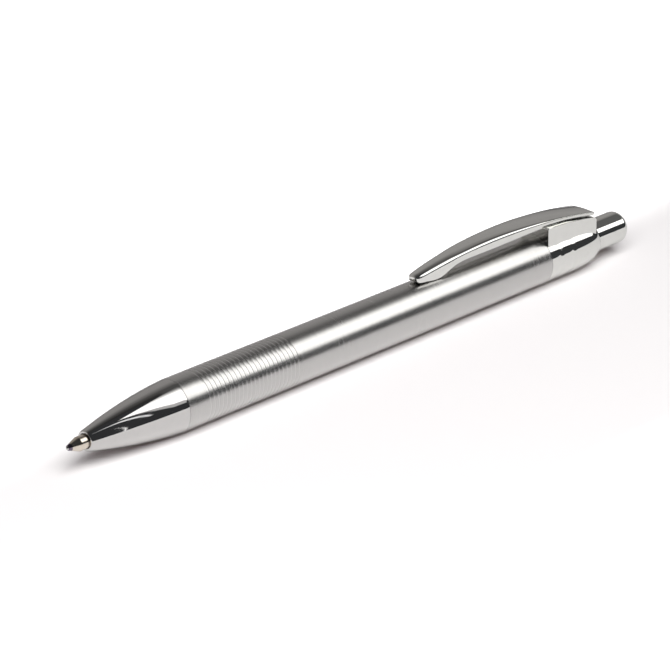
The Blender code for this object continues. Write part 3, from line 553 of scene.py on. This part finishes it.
def makeBarrel():
    bore, edge = barrelRadius - barrel["wall"], barrel["edge"]
    width, fallShare = barrel["grooveWidth"], barrel["grooveFall"]
    front, rear = barrelLow.x, sleeveLow.x - seamGap
    outline = rounded([(front, bore, 0), (front, barrelRadius, edge), (front + mm, barrelRadius, 0)])
    for index in range(barrel["grooveCount"]):
        start = grooveX + index * barrel["groovePitch"]
        outline.append((start - barrel["grooveMargin"] * width, barrelRadius))
        for step in range(barrel["grooveSteps"] + 1):
            share = step / barrel["grooveSteps"]
            fall, rise = share / fallShare, (1 - share) / (1 - fallShare)
            depth = barrel["grooveDepth"] * (1 - math.cos(math.pi * min(fall, rise))) / 2
            outline.append((start + share * width, barrelRadius - depth))
        outline.append((start + (1 + barrel["grooveMargin"]) * width, barrelRadius))
    outline += rounded([(rear - mm, barrelRadius, 0), (rear, barrelRadius, edge), (rear, bore, 0)])
    piece = turned(closed(outline), detail["outerSides"])
    finishPiece(piece, "steelBarrel", "pen_body", "brushed_steel", "barrel_tube")


sleeve = {
    "ringPitch": 3.63 * mm,
    "ringCount": 2,
    "ringFlat": 0.15,
    "ringDrop": 0.1 * mm,
    "ringStep": 1.1 * mm,
    "ringPower": 4,
    "ringSteps": 12,
    "shoulderFront": 7.6 * mm,
    "shoulderDrop": 1.55 * mm,
    "shoulderSteps": 28,
    "edge": 0.03 * mm,
    "boreEnd": 4.8 * mm,
    "bore": 4.2 * mm,
    "hole": 3.25 * mm,
}


def sleeveShell():
    # the round part, still solid
    front, rear = sleeveLow.x, sleeveHigh.x
    pitch, flat, reach = sleeve["ringPitch"], sleeve["ringFlat"], sleeve["ringStep"]
    shares = [step / sleeve["ringSteps"] for step in range(1, sleeve["ringSteps"] + 1)]
    outline = [(front, 0)]
    outline += rounded([(front, barrelRadius / 2, 0), (front, barrelRadius, sleeve["edge"]),
                        (front + pitch / 8, barrelRadius, 0)])
    for index in range(sleeve["ringCount"]):
        ringFront = front + index * pitch
        for share in shares:
            fall = sleeve["ringDrop"] * share ** sleeve["ringPower"]
            outline.append((ringFront + (pitch - reach) * (flat + (1 - flat) * share),
                            barrelRadius - fall))
        for share in shares:
            rise = sleeve["ringDrop"] * (1 + math.cos(math.pi * share)) / 2
            outline.append((ringFront + pitch - reach * (1 - share), barrelRadius - rise))
    startX = front + sleeve["shoulderFront"]
    endR = barrelRadius - sleeve["shoulderDrop"]
    outline += arc(startX, endR, rear - startX, 90, 0, sleeve["shoulderSteps"],
                   sleeve["shoulderDrop"])
    outline.append((rear, 0))
    return turned(outline, detail["outerSides"])


# The clip's rows give, by share of its length, the shares of its half width, depth and edge radius
clip = {
    "halfWidth": 2.77 * mm,
    "rise": 3.9 * mm,
    "lift": 0.16 * mm,
    "depth": 2.8 * mm,
    "edgeRadius": 1.4 * mm,
    "edgeWidthShare": 0.6,
    "edgeHeightShare": 0.7,
    "edgeDrop": 0.8,
    "crown": 0.35 * mm,
    "crownShare": 0.25,
    "apex": 0.477,
    "frontDrop": 2.43 * mm,
    "rearDrop": 2.45 * mm,
    "wall": 0.5 * mm,
    "lip": 0.16 * mm,
    "lipShare": 0.07,
    "channelFront": 0.062,
    "channelRear": 0.88,
    "footEnd": 0.24,
    "footGap": 0.12 * mm,
    "seatGap": 0.06 * mm,
    "rearSeatGap": 0.22 * mm,
    "seatBlend": 1.6 * mm,
    "rowSmoothing": 0.02,
    "rings": 60,
    "columns": (1, 0.7, 0.35),
    "levels": (1, 0.4, -0.7, -1),
    "channelRings": 40,
    "noseRound": 0.9 * mm,
    "noseStations": (0, 0.12, 0.4, 0.75),
    "noseDraw": (0.75 * mm, 0.35 * mm, 0.65 * mm),
    "tailRound": 1.0 * mm,
    "tailStations": (1.2, 0.85, 0.6, 0.38, 0.2, 0.08, 0),
    "tailClear": 1.4,
    "tailDraw": (0.3 * mm, 0.42 * mm, 0),
    "pivotSetback": 2.2 * mm,
    "pivotRise": 0.25 * mm,
    "lugRadius": 0.8 * mm,
    "lugHalfWidth": 1.26 * mm,
    "lugRounding": 0.98,
    "lugSteps": 10,
    "footSides": 384,
    "pinHole": 0.5 * mm,
    "pinSides": 48,
    "pinCut": 4 * mm,
    "rows": (
        (0.000, 0.48, 0.46, 0.50), (0.027, 0.54, 0.58, 0.60), (0.052, 0.57, 0.70, 0.70),
        (0.079, 0.61, 0.86, 0.75), (0.100, 0.63, 0.955, 0.80), (0.119, 0.65, 0.975, 0.80),
        (0.134, 0.665, 0.94, 0.80), (0.148, 0.68, 0.87, 0.80), (0.165, 0.69, 0.77, 0.85),
        (0.180, 0.70, 0.686, 0.85), (0.210, 0.73, 0.593, 0.90), (0.248, 0.77, 0.568, 0.95),
        (0.335, 0.84, 0.655, 1.00), (0.437, 0.91, 0.682, 1.00), (0.560, 0.98, 0.579, 0.90),
        (0.646, 1.00, 0.482, 0.70), (0.696, 1.00, 0.436, 0.52), (0.760, 1.00, 0.385, 0.38),
        (0.815, 1.00, 0.336, 0.29), (0.880, 1.00, 0.308, 0.24), (0.935, 1.00, 0.290, 0.22),
        (1.000, 1.00, 0.225, 0.20),
    ),
}
clipLength = clipHigh.x - clipLow.x
pivotX = clipHigh.x - clip["pivotSetback"]
pivotZ = axisZ + barrelRadius + clip["pivotRise"]


def clipTop(share):
    apexZ = axisZ + barrelRadius + clip["rise"]
    if share < clip["apex"]:
        return apexZ - clip["frontDrop"] * (1 - share / clip["apex"]) ** 2
    return apexZ - clip["rearDrop"] * ((share - clip["apex"]) / (1 - clip["apex"])) ** 2


def clipCurve(share):
    # smooth values between the rows of the table
    rows = clip["rows"]
    index = max(place for place in range(len(rows) - 1) if rows[place][0] <= share or place == 0)
    low, high = rows[index], rows[index + 1]
    before, after = rows[max(index - 1, 0)], rows[min(index + 2, len(rows) - 1)]
    stretch = high[0] - low[0]
    part = (share - low[0]) / stretch
    values = []
    for k in (1, 2, 3):
        leaving = (high[k] - before[k]) / (high[0] - before[0]) * stretch
        arriving = (after[k] - low[k]) / (after[0] - low[0]) * stretch
        values.append((2 * part ** 3 - 3 * part ** 2 + 1) * low[k]
                      + (part ** 3 - 2 * part ** 2 + part) * leaving
                      + (3 * part ** 2 - 2 * part ** 3) * high[k]
                      + (part ** 3 - part ** 2) * arriving)
    return values


def clipRow(share):
    # the mean of a short stretch, which keeps the edges free of ripples
    reach = min(clip["rowSmoothing"], share, 1 - share)
    samples = [clipCurve(share + reach * step / 2) for step in (-2, -1, 0, 1, 2)]
    return [sum(values) / len(samples) for values in zip(*samples)]


def clipUnderside(x):
    share = min(max((x - clipLow.x) / clipLength, 0), 1)
    return clipTop(share) - clipRow(share)[1] * clip["depth"]


def ringedBar(stations, columns, rows, place):
    # a bar cut into rings along X; place gives each vertex of a ring its side and height
    front, rear = stations[0], stations[-1]
    piece = cuboid(((front + rear) / 2, 0, 0), (rear - front, 2, 2))
    openEdit(piece)
    cuts = [((x, 0, 0), (1, 0, 0)) for x in stations[1:-1]]
    cuts += [((0, side * column, 0), (0, 1, 0)) for column in columns for side in (-1, 1)
             if 0 < column < 1]
    cuts += [((0, 0, 0), (0, 1, 0))]
    cuts += [((0, 0, row), (0, 0, 1)) for row in rows if -1 < row < 1]
    for point, normal in cuts:
        cut(point, normal)
    mesh = bmesh.from_edit_mesh(piece.data)
    marks = {}
    for vert in mesh.verts:
        ring = min(range(len(stations)), key=lambda index: abs(stations[index] - vert.co.x))
        marks.setdefault((ring, round(abs(vert.co.y), 3), round(vert.co.z, 3)), []).append(vert.index)
    for (ring, column, row), members in marks.items():
        chosen = set(members)
        pick(lambda vert: vert.index in chosen)
        side, height = place(stations[ring], column, row)
        if column:
            bpy.ops.transform.resize(value=(1, side / column, 1), center_override=(0, 0, 0))
        bpy.ops.transform.translate(value=(0, 0, height - row))
    cleanSlate()
    return piece


def makeClip():
    front, rear = clipLow.x, clipHigh.x
    noseRound, tailRound = clip["noseRound"], clip["tailRound"]
    stations = [front + clipLength * step / clip["rings"] for step in range(1, clip["rings"])]
    stations = ([front + noseRound * share for share in clip["noseStations"]]
                + [x for x in stations if front + noseRound < x < rear - clip["tailClear"] * tailRound]
                + [rear - tailRound * share for share in clip["tailStations"]])
    outerColumn, bendColumn, innerColumn = clip["columns"]
    topLevel, shoulderLevel, lipLevel, bottomLevel = clip["levels"]

    def place(x, column, row):
        share = (x - front) / clipLength
        width, depth, edge = clipRow(share)
        width *= clip["halfWidth"]
        edge *= clip["edgeRadius"]
        bottom = clipTop(share) - depth * clip["depth"]
        top = clipTop(share) + clip["lift"]
        for gap, reach, draws in ((x - front, noseRound, clip["noseDraw"]),
                                  (rear - x, tailRound, clip["tailDraw"])):
            rounding = 1 - math.sqrt(1 - min(max(0, 1 - gap / reach), 1) ** 2)
            width -= draws[0] * rounding
            top -= draws[1] * rounding
            bottom += draws[2] * rounding
        crown = min(clip["crown"], (top - bottom) * clip["crownShare"])
        edge = min(edge, width * clip["edgeWidthShare"],
                   (top - bottom - crown - clip["lip"]) * clip["edgeHeightShare"])
        side = {outerColumn: width, bendColumn: width - edge, innerColumn: (width - edge) / 2,
                0: 0}[column]
        lip = min(clip["lip"], (top - bottom) * clip["lipShare"])
        height = {topLevel: top - crown * (side / width) ** 2,
                  shoulderLevel: top - crown - clip["edgeDrop"] * edge,
                  lipLevel: bottom + lip, bottomLevel: bottom}[row]
        return side, height

    piece = ringedBar(stations, clip["columns"], clip["levels"], place)
    applyModifier(piece, "SUBSURF", levels=2, render_levels=2)

    def channelPlace(x, column, row):
        share = (x - front) / clipLength
        top = clipTop(share) - clip["crown"] - clip["wall"]
        side = (clipRow(share)[0] * clip["halfWidth"] - clip["wall"]) * column
        return side, top if row > 0 else top - 2 * clip["depth"]

    channelLength = clip["channelRear"] - clip["channelFront"]
    channelShares = [clip["channelFront"] + channelLength * step / clip["channelRings"]
                     for step in range(clip["channelRings"] + 1)]
    channel = ringedBar([front + share * clipLength for share in channelShares], (1,), (1, -1),
                        channelPlace)
    combine(piece, channel, "DIFFERENCE")
    footLength = clip["footEnd"] * clipLength
    footCut = rod(clip["footSides"], barrelRadius + clip["footGap"], footLength + 2 * mm,
                  (front + footLength / 2 - mm, 0, axisZ), (0, math.pi / 2, 0))
    combine(piece, footCut, "DIFFERENCE")
    # the lug that the clip turns on: a cube drawn out downwards, its lower edges rounded
    lugTop = clipUnderside(pivotX) + clip["lip"]
    lug = cuboid((pivotX, 0, (pivotZ + lugTop) / 2),
                 (2 * clip["lugRadius"], 2 * clip["lugHalfWidth"], lugTop - pivotZ))
    openEdit(lug)
    pick(lambda face: face.normal.z < -0.9, "faces")
    bpy.ops.mesh.extrude_region_move(TRANSFORM_OT_translate={"value": (0, 0, -clip["lugRadius"])})
    pick(lambda edge: max(vert.co.z for vert in edge.verts) < pivotZ - clip["lugRadius"] / 2
         and span(edge, 0) < detail["weld"], "edges")
    bpy.ops.mesh.bevel(offset=clip["lugRadius"] * clip["lugRounding"], segments=clip["lugSteps"])
    cleanSlate()
    combine(piece, lug, "UNION")
    pinCut = rod(clip["pinSides"], clip["pinHole"], clip["pinCut"], (pivotX, 0, pivotZ),
                 (math.pi / 2, 0, 0))
    combine(piece, pinCut, "DIFFERENCE")
    finishPiece(piece, "pocketClip", "clip", "polished_chrome", "clip")


block = {
    "halfWidth": 3.6 * mm,
    "frontSetback": 0.1 * mm,
    "rearSetback": 1.3 * mm,
    "foot": 1.5 * mm,
    "rearCorner": 0.7 * mm,
    "frontCorner": 0.22 * mm,
    "edge": 0.1 * mm,
    "cornerSteps": 6,
    "edgeSteps": 3,
    "sharpAngle": 1,
    "cuts": 10,
    "support": 0.03 * mm,
    "pocketFront": 4.0 * mm,
    "pocketRearWall": 0.6 * mm,
    "pocketHalfWidth": 1.5 * mm,
    "pocketFloor": 4.75 * mm,
    "pocketDeepLength": 2.4 * mm,
    "pocketDeepFloor": 4.1 * mm,
    "pocketCut": 4 * mm,
}


def blockRoof(x):
    # close under the clip ahead of its pivot, with room behind for the clip to tip
    share = min(max((x - pivotX) / clip["seatBlend"], 0), 1)
    return clipUnderside(x) - clip["seatGap"] - (clip["rearSeatGap"] - clip["seatGap"]) * share


def makeBlock():
    # the raised block that carries the clip, with its top following the clip's underside
    front = sleeveLow.x + block["frontSetback"]
    rear = sleeveHigh.x - block["rearSetback"]
    footZ = axisZ + block["foot"]
    roofZ = blockRoof(front)
    piece = cuboid(((front + rear) / 2, 0, (footZ + roofZ) / 2),
                   (rear - front, 2 * block["halfWidth"], roofZ - footZ))
    openEdit(piece)
    stations = [front + (rear - front) * step / block["cuts"] for step in range(block["cuts"] + 1)]
    for x in stations[1:-1]:
        cut((x, 0, 0), (1, 0, 0))
    for x in stations:
        pick(lambda vert: abs(vert.co.x - x) < detail["weld"] and vert.co.z > footZ + mm)
        bpy.ops.transform.translate(value=(0, 0, blockRoof(x) - roofZ))
    for x, corner in ((rear, block["rearCorner"]), (front, block["frontCorner"])):
        pick(lambda edge: all(abs(vert.co.x - x) < detail["weld"] and vert.co.z > footZ + mm
                              for vert in edge.verts) and span(edge, 1) > block["halfWidth"], "edges")
        bpy.ops.mesh.bevel(offset=corner, segments=block["cornerSteps"])
    pick(lambda edge: abs(abs(edge.verts[0].co.y) - block["halfWidth"]) < detail["weld"]
         and span(edge, 1) < detail["weld"]
         and len(edge.link_faces) == 2
         and edge.link_faces[0].normal.angle(edge.link_faces[1].normal) > block["sharpAngle"]
         and min(vert.co.z for vert in edge.verts) > footZ - mm
         and max(vert.co.z for vert in edge.verts) > footZ + detail["weld"], "edges")
    bpy.ops.mesh.bevel(offset=block["edge"], segments=block["edgeSteps"])
    pick(lambda face: abs(face.normal.y) > 0.999, "faces")
    bpy.ops.mesh.inset(thickness=block["support"], depth=0)
    pick(lambda face: face.normal.x < -0.999, "faces")
    bpy.ops.mesh.inset(thickness=block["support"], depth=0)
    cleanSlate()
    return piece


def makeSleeve():
    piece = sleeveShell()
    combine(piece, makeBlock(), "UNION")
    front, rear = sleeveLow.x, sleeveHigh.x
    boreEnd = rear - sleeve["boreEnd"]
    bore = turned([(front - mm, 0), (front - mm, sleeve["bore"]), (boreEnd, sleeve["bore"]),
                   (boreEnd, sleeve["hole"]), (rear + mm, sleeve["hole"]), (rear + mm, 0)],
                  detail["outerSides"])
    combine(piece, bore, "DIFFERENCE")
    pocketFront = front + block["frontSetback"] + block["pocketFront"]
    pocketRear = rear - block["rearSetback"] - block["pocketRearWall"]
    for start, floor in ((pocketFront, block["pocketFloor"]),
                         (pocketRear - block["pocketDeepLength"], block["pocketDeepFloor"])):
        pocket = cuboid(((start + pocketRear) / 2, 0, axisZ + floor + block["pocketCut"] / 2),
                        (pocketRear - start, 2 * block["pocketHalfWidth"], block["pocketCut"]))
        combine(piece, pocket, "DIFFERENCE")
    finishPiece(piece, "clipSleeve", "pen_body", "polished_chrome", "clip_sleeve")


button = {
    "radius": 3.15 * mm,
    "endRound": 1.6 * mm,
    "endSteps": 24,
    "wall": 0.7 * mm,
    "endWall": 2 * mm,
    "frontEdge": 0.08 * mm,
    "support": 0.05 * mm,
}


def makeButton():
    low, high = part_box("push_button")
    radius = button["radius"]
    bore = radius - button["wall"]
    boreEnd = high.x - button["endWall"]
    outline = [(boreEnd, 0), (boreEnd, bore), (low.x, bore)]
    outline += rounded([(low.x, bore, 0), (low.x, radius, button["frontEdge"]),
                        (high.x - button["endRound"] - mm, radius, 0)])[1:]
    outline.append((high.x - button["endRound"] - button["support"], radius))
    outline += arc(high.x - button["endRound"], radius - button["endRound"], button["endRound"],
                   90, 0, button["endSteps"])
    outline += [(high.x, radius - button["endRound"] - button["support"]), (high.x, 0)]
    piece = turned(outline, detail["outerSides"])
    finishPiece(piece, "clickButton", "button", "polished_chrome", "push_button")


refill = {
    "ballGap": 0.04 * mm,
    "ballSides": 64,
    "ballRings": 32,
    "seatSteps": 10,
    "rimWall": 0.07 * mm,
    "collar": 0.22 * mm,
    "channelRadius": 0.15 * mm,
    "channelLength": 0.6 * mm,
    "inkBore": 0.5 * mm,
    "coneLength": 2.2 * mm,
    "shankRadius": 1.28 * mm,
    "pointLength": 11.9 * mm,
    "pointSpigot": 0.9 * mm,
    "seatGap": 0.1 * mm,
    "neckRadius": 1.6 * mm,
    "shoulderRadius": 2.3 * mm,
    "shoulderCone": 1.5 * mm,
    "wall": 0.4 * mm,
    "edge": 0.07 * mm,
}


def makePoint():
    ballLow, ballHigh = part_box("writing_ball")
    ballRadius = (ballHigh.x - ballLow.x) / 2
    centreX = ballLow.x + ballRadius
    gap, wall, collar, edge = refill["ballGap"], refill["rimWall"], refill["collar"], refill["edge"]
    shank, spigot, bore = refill["shankRadius"], refill["pointSpigot"], refill["inkBore"]
    socket = ballRadius + gap
    rimX = centreX - gap
    rimR = math.sqrt(socket ** 2 - gap ** 2) + wall
    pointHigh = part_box("refill_point")[1].x
    endX = ballLow.x + refill["pointLength"]
    coneX = rimX + refill["coneLength"]
    outline = rounded([(rimX, rimR - wall, 0), (rimX, rimR, wall / 3),
                       (rimX + collar, rimR + collar / 3, wall / 3), (coneX, shank, edge),
                       (endX, shank, edge), (endX, spigot, 0), (pointHigh, spigot, 0)])
    inner = math.degrees(math.asin(refill["channelRadius"] / socket))
    rim = math.degrees(math.acos(-gap / socket))
    seat = arc(centreX, 0, socket, inner, rim, refill["seatSteps"])
    channelEnd = seat[0][0] + refill["channelLength"]
    outline += [(pointHigh, bore), (channelEnd + bore, bore),
                (channelEnd, refill["channelRadius"])] + seat[:-1]
    piece = turned(closed(outline), detail["innerSides"])
    finishPiece(piece, "refillPoint", "refill", "nickel_silver", "refill_point")
    cleanSlate()
    bpy.ops.mesh.primitive_uv_sphere_add(segments=refill["ballSides"],
                                         ring_count=refill["ballRings"], radius=ballRadius,
                                         location=(centreX, 0, axisZ), rotation=(0, math.pi / 2, 0))
    finishPiece(bpy.context.object, "writingBall", "ball", "carbide", "writing_ball")


def makeRefillBody():
    tubeLow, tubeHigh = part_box("refill_tube")
    neckLow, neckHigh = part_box("refill_neck")
    radius = (tubeHigh.z - tubeLow.z) / 2
    bore = radius - refill["wall"]
    edge = refill["edge"]
    coneRear = tubeLow.x - refill["seatGap"]
    shoulderX = coneRear - refill["shoulderCone"]
    fill = bore - refill["seatGap"]
    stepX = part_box("refill_point")[1].x + refill["seatGap"]
    spigotBore = refill["pointSpigot"] + refill["seatGap"]
    neck = rounded([(neckLow.x, spigotBore, 0), (neckLow.x, refill["neckRadius"], edge),
                    (shoulderX, refill["neckRadius"], edge / 2),
                    (shoulderX, refill["shoulderRadius"], edge), (coneRear, radius, edge),
                    (coneRear, fill, 0), (neckHigh.x, fill, 0), (neckHigh.x, refill["inkBore"], 0),
                    (stepX, refill["inkBore"], 0), (stepX, spigotBore, 0)])
    finishPiece(turned(closed(neck), detail["innerSides"]), "refillNeck", "refill", "black_plastic",
                "refill_neck")
    tube = rounded([(tubeLow.x, bore, 0), (tubeLow.x, radius, edge), (tubeHigh.x, radius, edge),
                    (tubeHigh.x, bore, 0)])
    finishPiece(turned(closed(tube), detail["innerSides"]), "refillTube", "refill", "brass",
                "refill_tube")


spring = {
    "wire": 0.2 * mm,
    "turns": 9,
    "stepsPerTurn": 36,
    "wireSides": 12,
    "weld": 0.01 * mm,
}


def makeSpring():
    low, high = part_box("return_spring")
    meanRadius = (high.y - low.y) / 2 - spring["wire"]
    startX, endX = low.x + spring["wire"], high.x - spring["wire"]
    cleanSlate()
    bpy.ops.mesh.primitive_circle_add(vertices=spring["wireSides"], radius=spring["wire"],
                                      location=(0, 0, meanRadius), rotation=(math.pi / 2, 0, 0))
    piece = settle(bpy.context.object)
    applyModifier(piece, "SCREW", axis="X", angle=math.tau, iterations=spring["turns"],
                  screw_offset=(endX - startX) / spring["turns"], steps=spring["stepsPerTurn"],
                  render_steps=spring["stepsPerTurn"], merge_threshold=spring["weld"])
    openEdit(piece)
    for atFront in (True, False):
        pick(lambda edge: edge.is_boundary and (edge.verts[0].co.x < (endX - startX) / 2) == atFront,
             "edges")
        bpy.ops.mesh.edge_face_add()
    faceOutwards()
    cleanSlate()
    piece.location = (startX, 0, axisZ)
    finishPiece(piece, "returnSpring", None, "spring_steel", "return_spring")
    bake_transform(piece)


def dressNodes():
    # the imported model's own pieces keep their shapes and take a full finish
    slotOf = {"barrel_front_bush": "brass", "barrel_rear_bush": "brass", "cam_housing": "white_plastic",
              "button_guide": "black_plastic", "clip_pin": "brushed_steel",
              "clip_leaf_spring": "spring_steel", "ink_column": "blue_ink", "ink_follower": "grease",
              "refill_end_plug": "black_plastic", "rotor_cam": "white_plastic",
              "plunger_cam": "white_plastic"}
    for name, slot in slotOf.items():
        coat(nodes[name], slot)
    print("finished", len(slotOf), "inner pieces")


def makeFinishes():
    return {
        "brushed_steel": brushedSteel(),
        "polished_chrome": polishedChrome("polishedChrome", metals["chrome"]),
        # a darker copy of the chrome for the nose: painted shade
        "shaded_nose_chrome": polishedChrome("shadedNoseChrome", metals["shadedNoseChrome"]),
        "nickel_silver": turnedMetal("nickelSilver", metals["nickelSilver"]),
        "brass": turnedMetal("brass", metals["brass"]),
        "carbide": plainFinish("carbide", (0.62, 0.61, 0.60), (0.52, 0.51, 0.50), 1, 0.12, 9000,
                               0.0006 * mm),
        "spring_steel": plainFinish("springSteel", (0.50, 0.50, 0.50), (0.38, 0.37, 0.36), 1, 0.25,
                                    4200, 0.001 * mm),
        "black_plastic": plainFinish("blackPlastic", (0.022, 0.022, 0.024), (0.035, 0.034, 0.033), 0,
                                     0.42, 5200, 0.003 * mm, IOR=1.49),
        "white_plastic": plainFinish("whitePlastic", (0.74, 0.74, 0.70), (0.66, 0.65, 0.60), 0, 0.4,
                                     4600, 0.003 * mm, IOR=1.48, Subsurface_Weight=0.08),
        "blue_ink": plainFinish("blueInk", (0.010, 0.020, 0.18), (0.006, 0.012, 0.10), 0, 0.15, 1200,
                                0.001 * mm, Coat_Weight=0.5),
        "grease": plainFinish("grease", (0.60, 0.48, 0.22), (0.48, 0.36, 0.14), 0, 0.25, 900,
                              0.002 * mm, Coat_Weight=0.3),
    }


def makeCamera():
    azimuth, elevation = math.radians(studio["azimuth"]), math.radians(studio["elevation"])
    roll = math.radians(studio["roll"])
    back = Vector((math.sin(azimuth) * math.cos(elevation), -math.cos(azimuth) * math.cos(elevation),
                   math.sin(elevation)))
    level = Vector((math.cos(azimuth), math.sin(azimuth), 0))
    upright = back.cross(level)
    right = level * math.cos(roll) + upright * math.sin(roll)
    up = upright * math.cos(roll) - level * math.sin(roll)
    cleanSlate()
    bpy.ops.object.camera_add()
    camera = bpy.context.object
    camera.name = "photoCamera"
    camera.data.lens = studio["lens"]
    camera.data.sensor_width = studio["sensor"]
    camera.data.clip_start = studio["clipStart"]
    camera.data.clip_end = studio["clipEnd"]
    turn = Matrix((right, up, back)).transposed().to_4x4()
    place = Vector(studio["target"]) + back * studio["distance"]
    camera.matrix_world = Matrix.Translation(place) @ turn
    bpy.context.scene.camera = camera


def makeCards():
    for name, card in cards.items():
        radius = card.get("radius", studio["rigRadius"])
        angles = [math.radians(angle) for x, angle in card["corners"]]
        middle = (max(angles) + min(angles)) / 2
        cleanSlate()
        bpy.ops.mesh.primitive_circle_add(vertices=len(angles), fill_type="NGON",
                                          location=(0, -radius * math.sin(middle),
                                                    axisZ + radius * math.cos(middle)),
                                          rotation=(middle, 0, 0))
        piece = bpy.context.object
        piece.name = name
        openEdit(piece)
        starts = [vert.co.copy() for vert in bmesh.from_edit_mesh(piece.data).verts]
        for index, (x, angle) in enumerate(zip((corner[0] for corner in card["corners"]), angles)):
            pick(lambda vert: vert.index == index)
            place = Vector((x / math.cos(angle - middle), -radius * math.tan(angle - middle), 0))
            bpy.ops.transform.translate(value=place - starts[index], orient_type="LOCAL")
        cleanSlate()
        glow = Finish(name, (0, 0, 0), 0, 1, Specular_IOR_Level=0.0, Emission_Color=(*card["tint"], 1),
                      Emission_Strength=card["radiance"])
        if "fade" in card:
            reach = radius * math.tan(max(angles) - middle)
            across = glow.node("ShaderNodeSeparateXYZ", {}, {0: glow.places((1, 1, 1))}, 1)
            share = glow.node("ShaderNodeMapRange", {}, {"Value": across, "From Min": -reach,
                                                         "From Max": reach})
            tone = glow.node("ShaderNodeValToRGB", {"stops": card["fade"]}, {0: share})
            glow.feed("Emission Color", glow.mixed(tone, (0, 0, 0), card["tint"]))
        piece.data.materials.append(glow.material)
        piece.visible_camera = False
        piece.visible_diffuse = False


def makeKey():
    # the broad light overhead, which lights the floor and whatever isn't metal
    along, across = studio["keySize"]
    tilt = math.radians(studio["keyTilt"])
    cleanSlate()
    bpy.ops.object.light_add(type="AREA", rotation=(tilt, 0, 0),
                             location=(studio["keyShift"], -studio["keyDistance"] * math.sin(tilt),
                                       studio["keyDistance"] * math.cos(tilt)))
    lamp = bpy.context.object
    lamp.name = "keyLamp"
    lamp.data.shape = "RECTANGLE"
    lamp.data.size, lamp.data.size_y = along, across
    lamp.data.energy = studio["keyRadiance"] * math.pi * along * across
    lamp.visible_camera = False
    lamp.visible_glossy = False


def makeRoom():
    # the room is dim, but shows white to the camera
    world = bpy.data.worlds.new("room")
    world.use_nodes = True
    room = Graph(world.node_tree, "Background")
    seen = room.node("ShaderNodeLightPath", {}, {}, "Is Camera Ray")
    room.feed("Color", room.mixed(seen, studio["roomTone"], (1, 1, 1)))
    bpy.context.scene.world = world


def makeFloor():
    # near the pen the floor glows a little, to the camera and faintly to metal, and keeps the pen's
    # shadow; further off it shows plain white
    cleanSlate()
    bpy.ops.mesh.primitive_plane_add(size=studio["floorSize"], location=(0, 0, 0))
    floor = bpy.context.object
    floor.name = "floor"
    finish = Finish("floorWhite", studio["floorTone"], 0, studio["floorRoughness"],
                    Specular_IOR_Level=0.0)
    near, far = studio["farReach"]
    reach = finish.node("ShaderNodeVectorMath", {"operation": "LENGTH"},
                        {0: finish.places(studio["farScale"], studio["farCentre"])}, 1)
    lift = finish.graded(reach, near, far, studio["floorLift"], studio["farLift"])
    seen = finish.node("ShaderNodeLightPath", {}, {}, "Is Camera Ray")
    mirrored = finish.node("ShaderNodeLightPath", {}, {}, "Is Glossy Ray")
    through = finish.node("ShaderNodeLightPath", {}, {}, "Is Transmission Ray")
    finish.shader.inputs["Emission Strength"].default_value = 1
    finish.feed("Emission Color", finish.mixed(seen + (mirrored + through) * studio["mirroredLift"],
                                               (0, 0, 0), lift))
    floor.data.materials.append(finish.material)


makeCamera()
makeCards()
makeKey()
makeRoom()
makeFloor()
print("camera, cards and floor are in place")

finishes = makeFinishes()
print("finishes are ready")

dressNodes()
makeNose()
makeBarrel()
makeSleeve()
makeClip()
makeButton()
makePoint()
makeRefillBody()
makeSpring()

bpy.context.scene.view_settings.view_transform = "Standard"
cleanSlate()
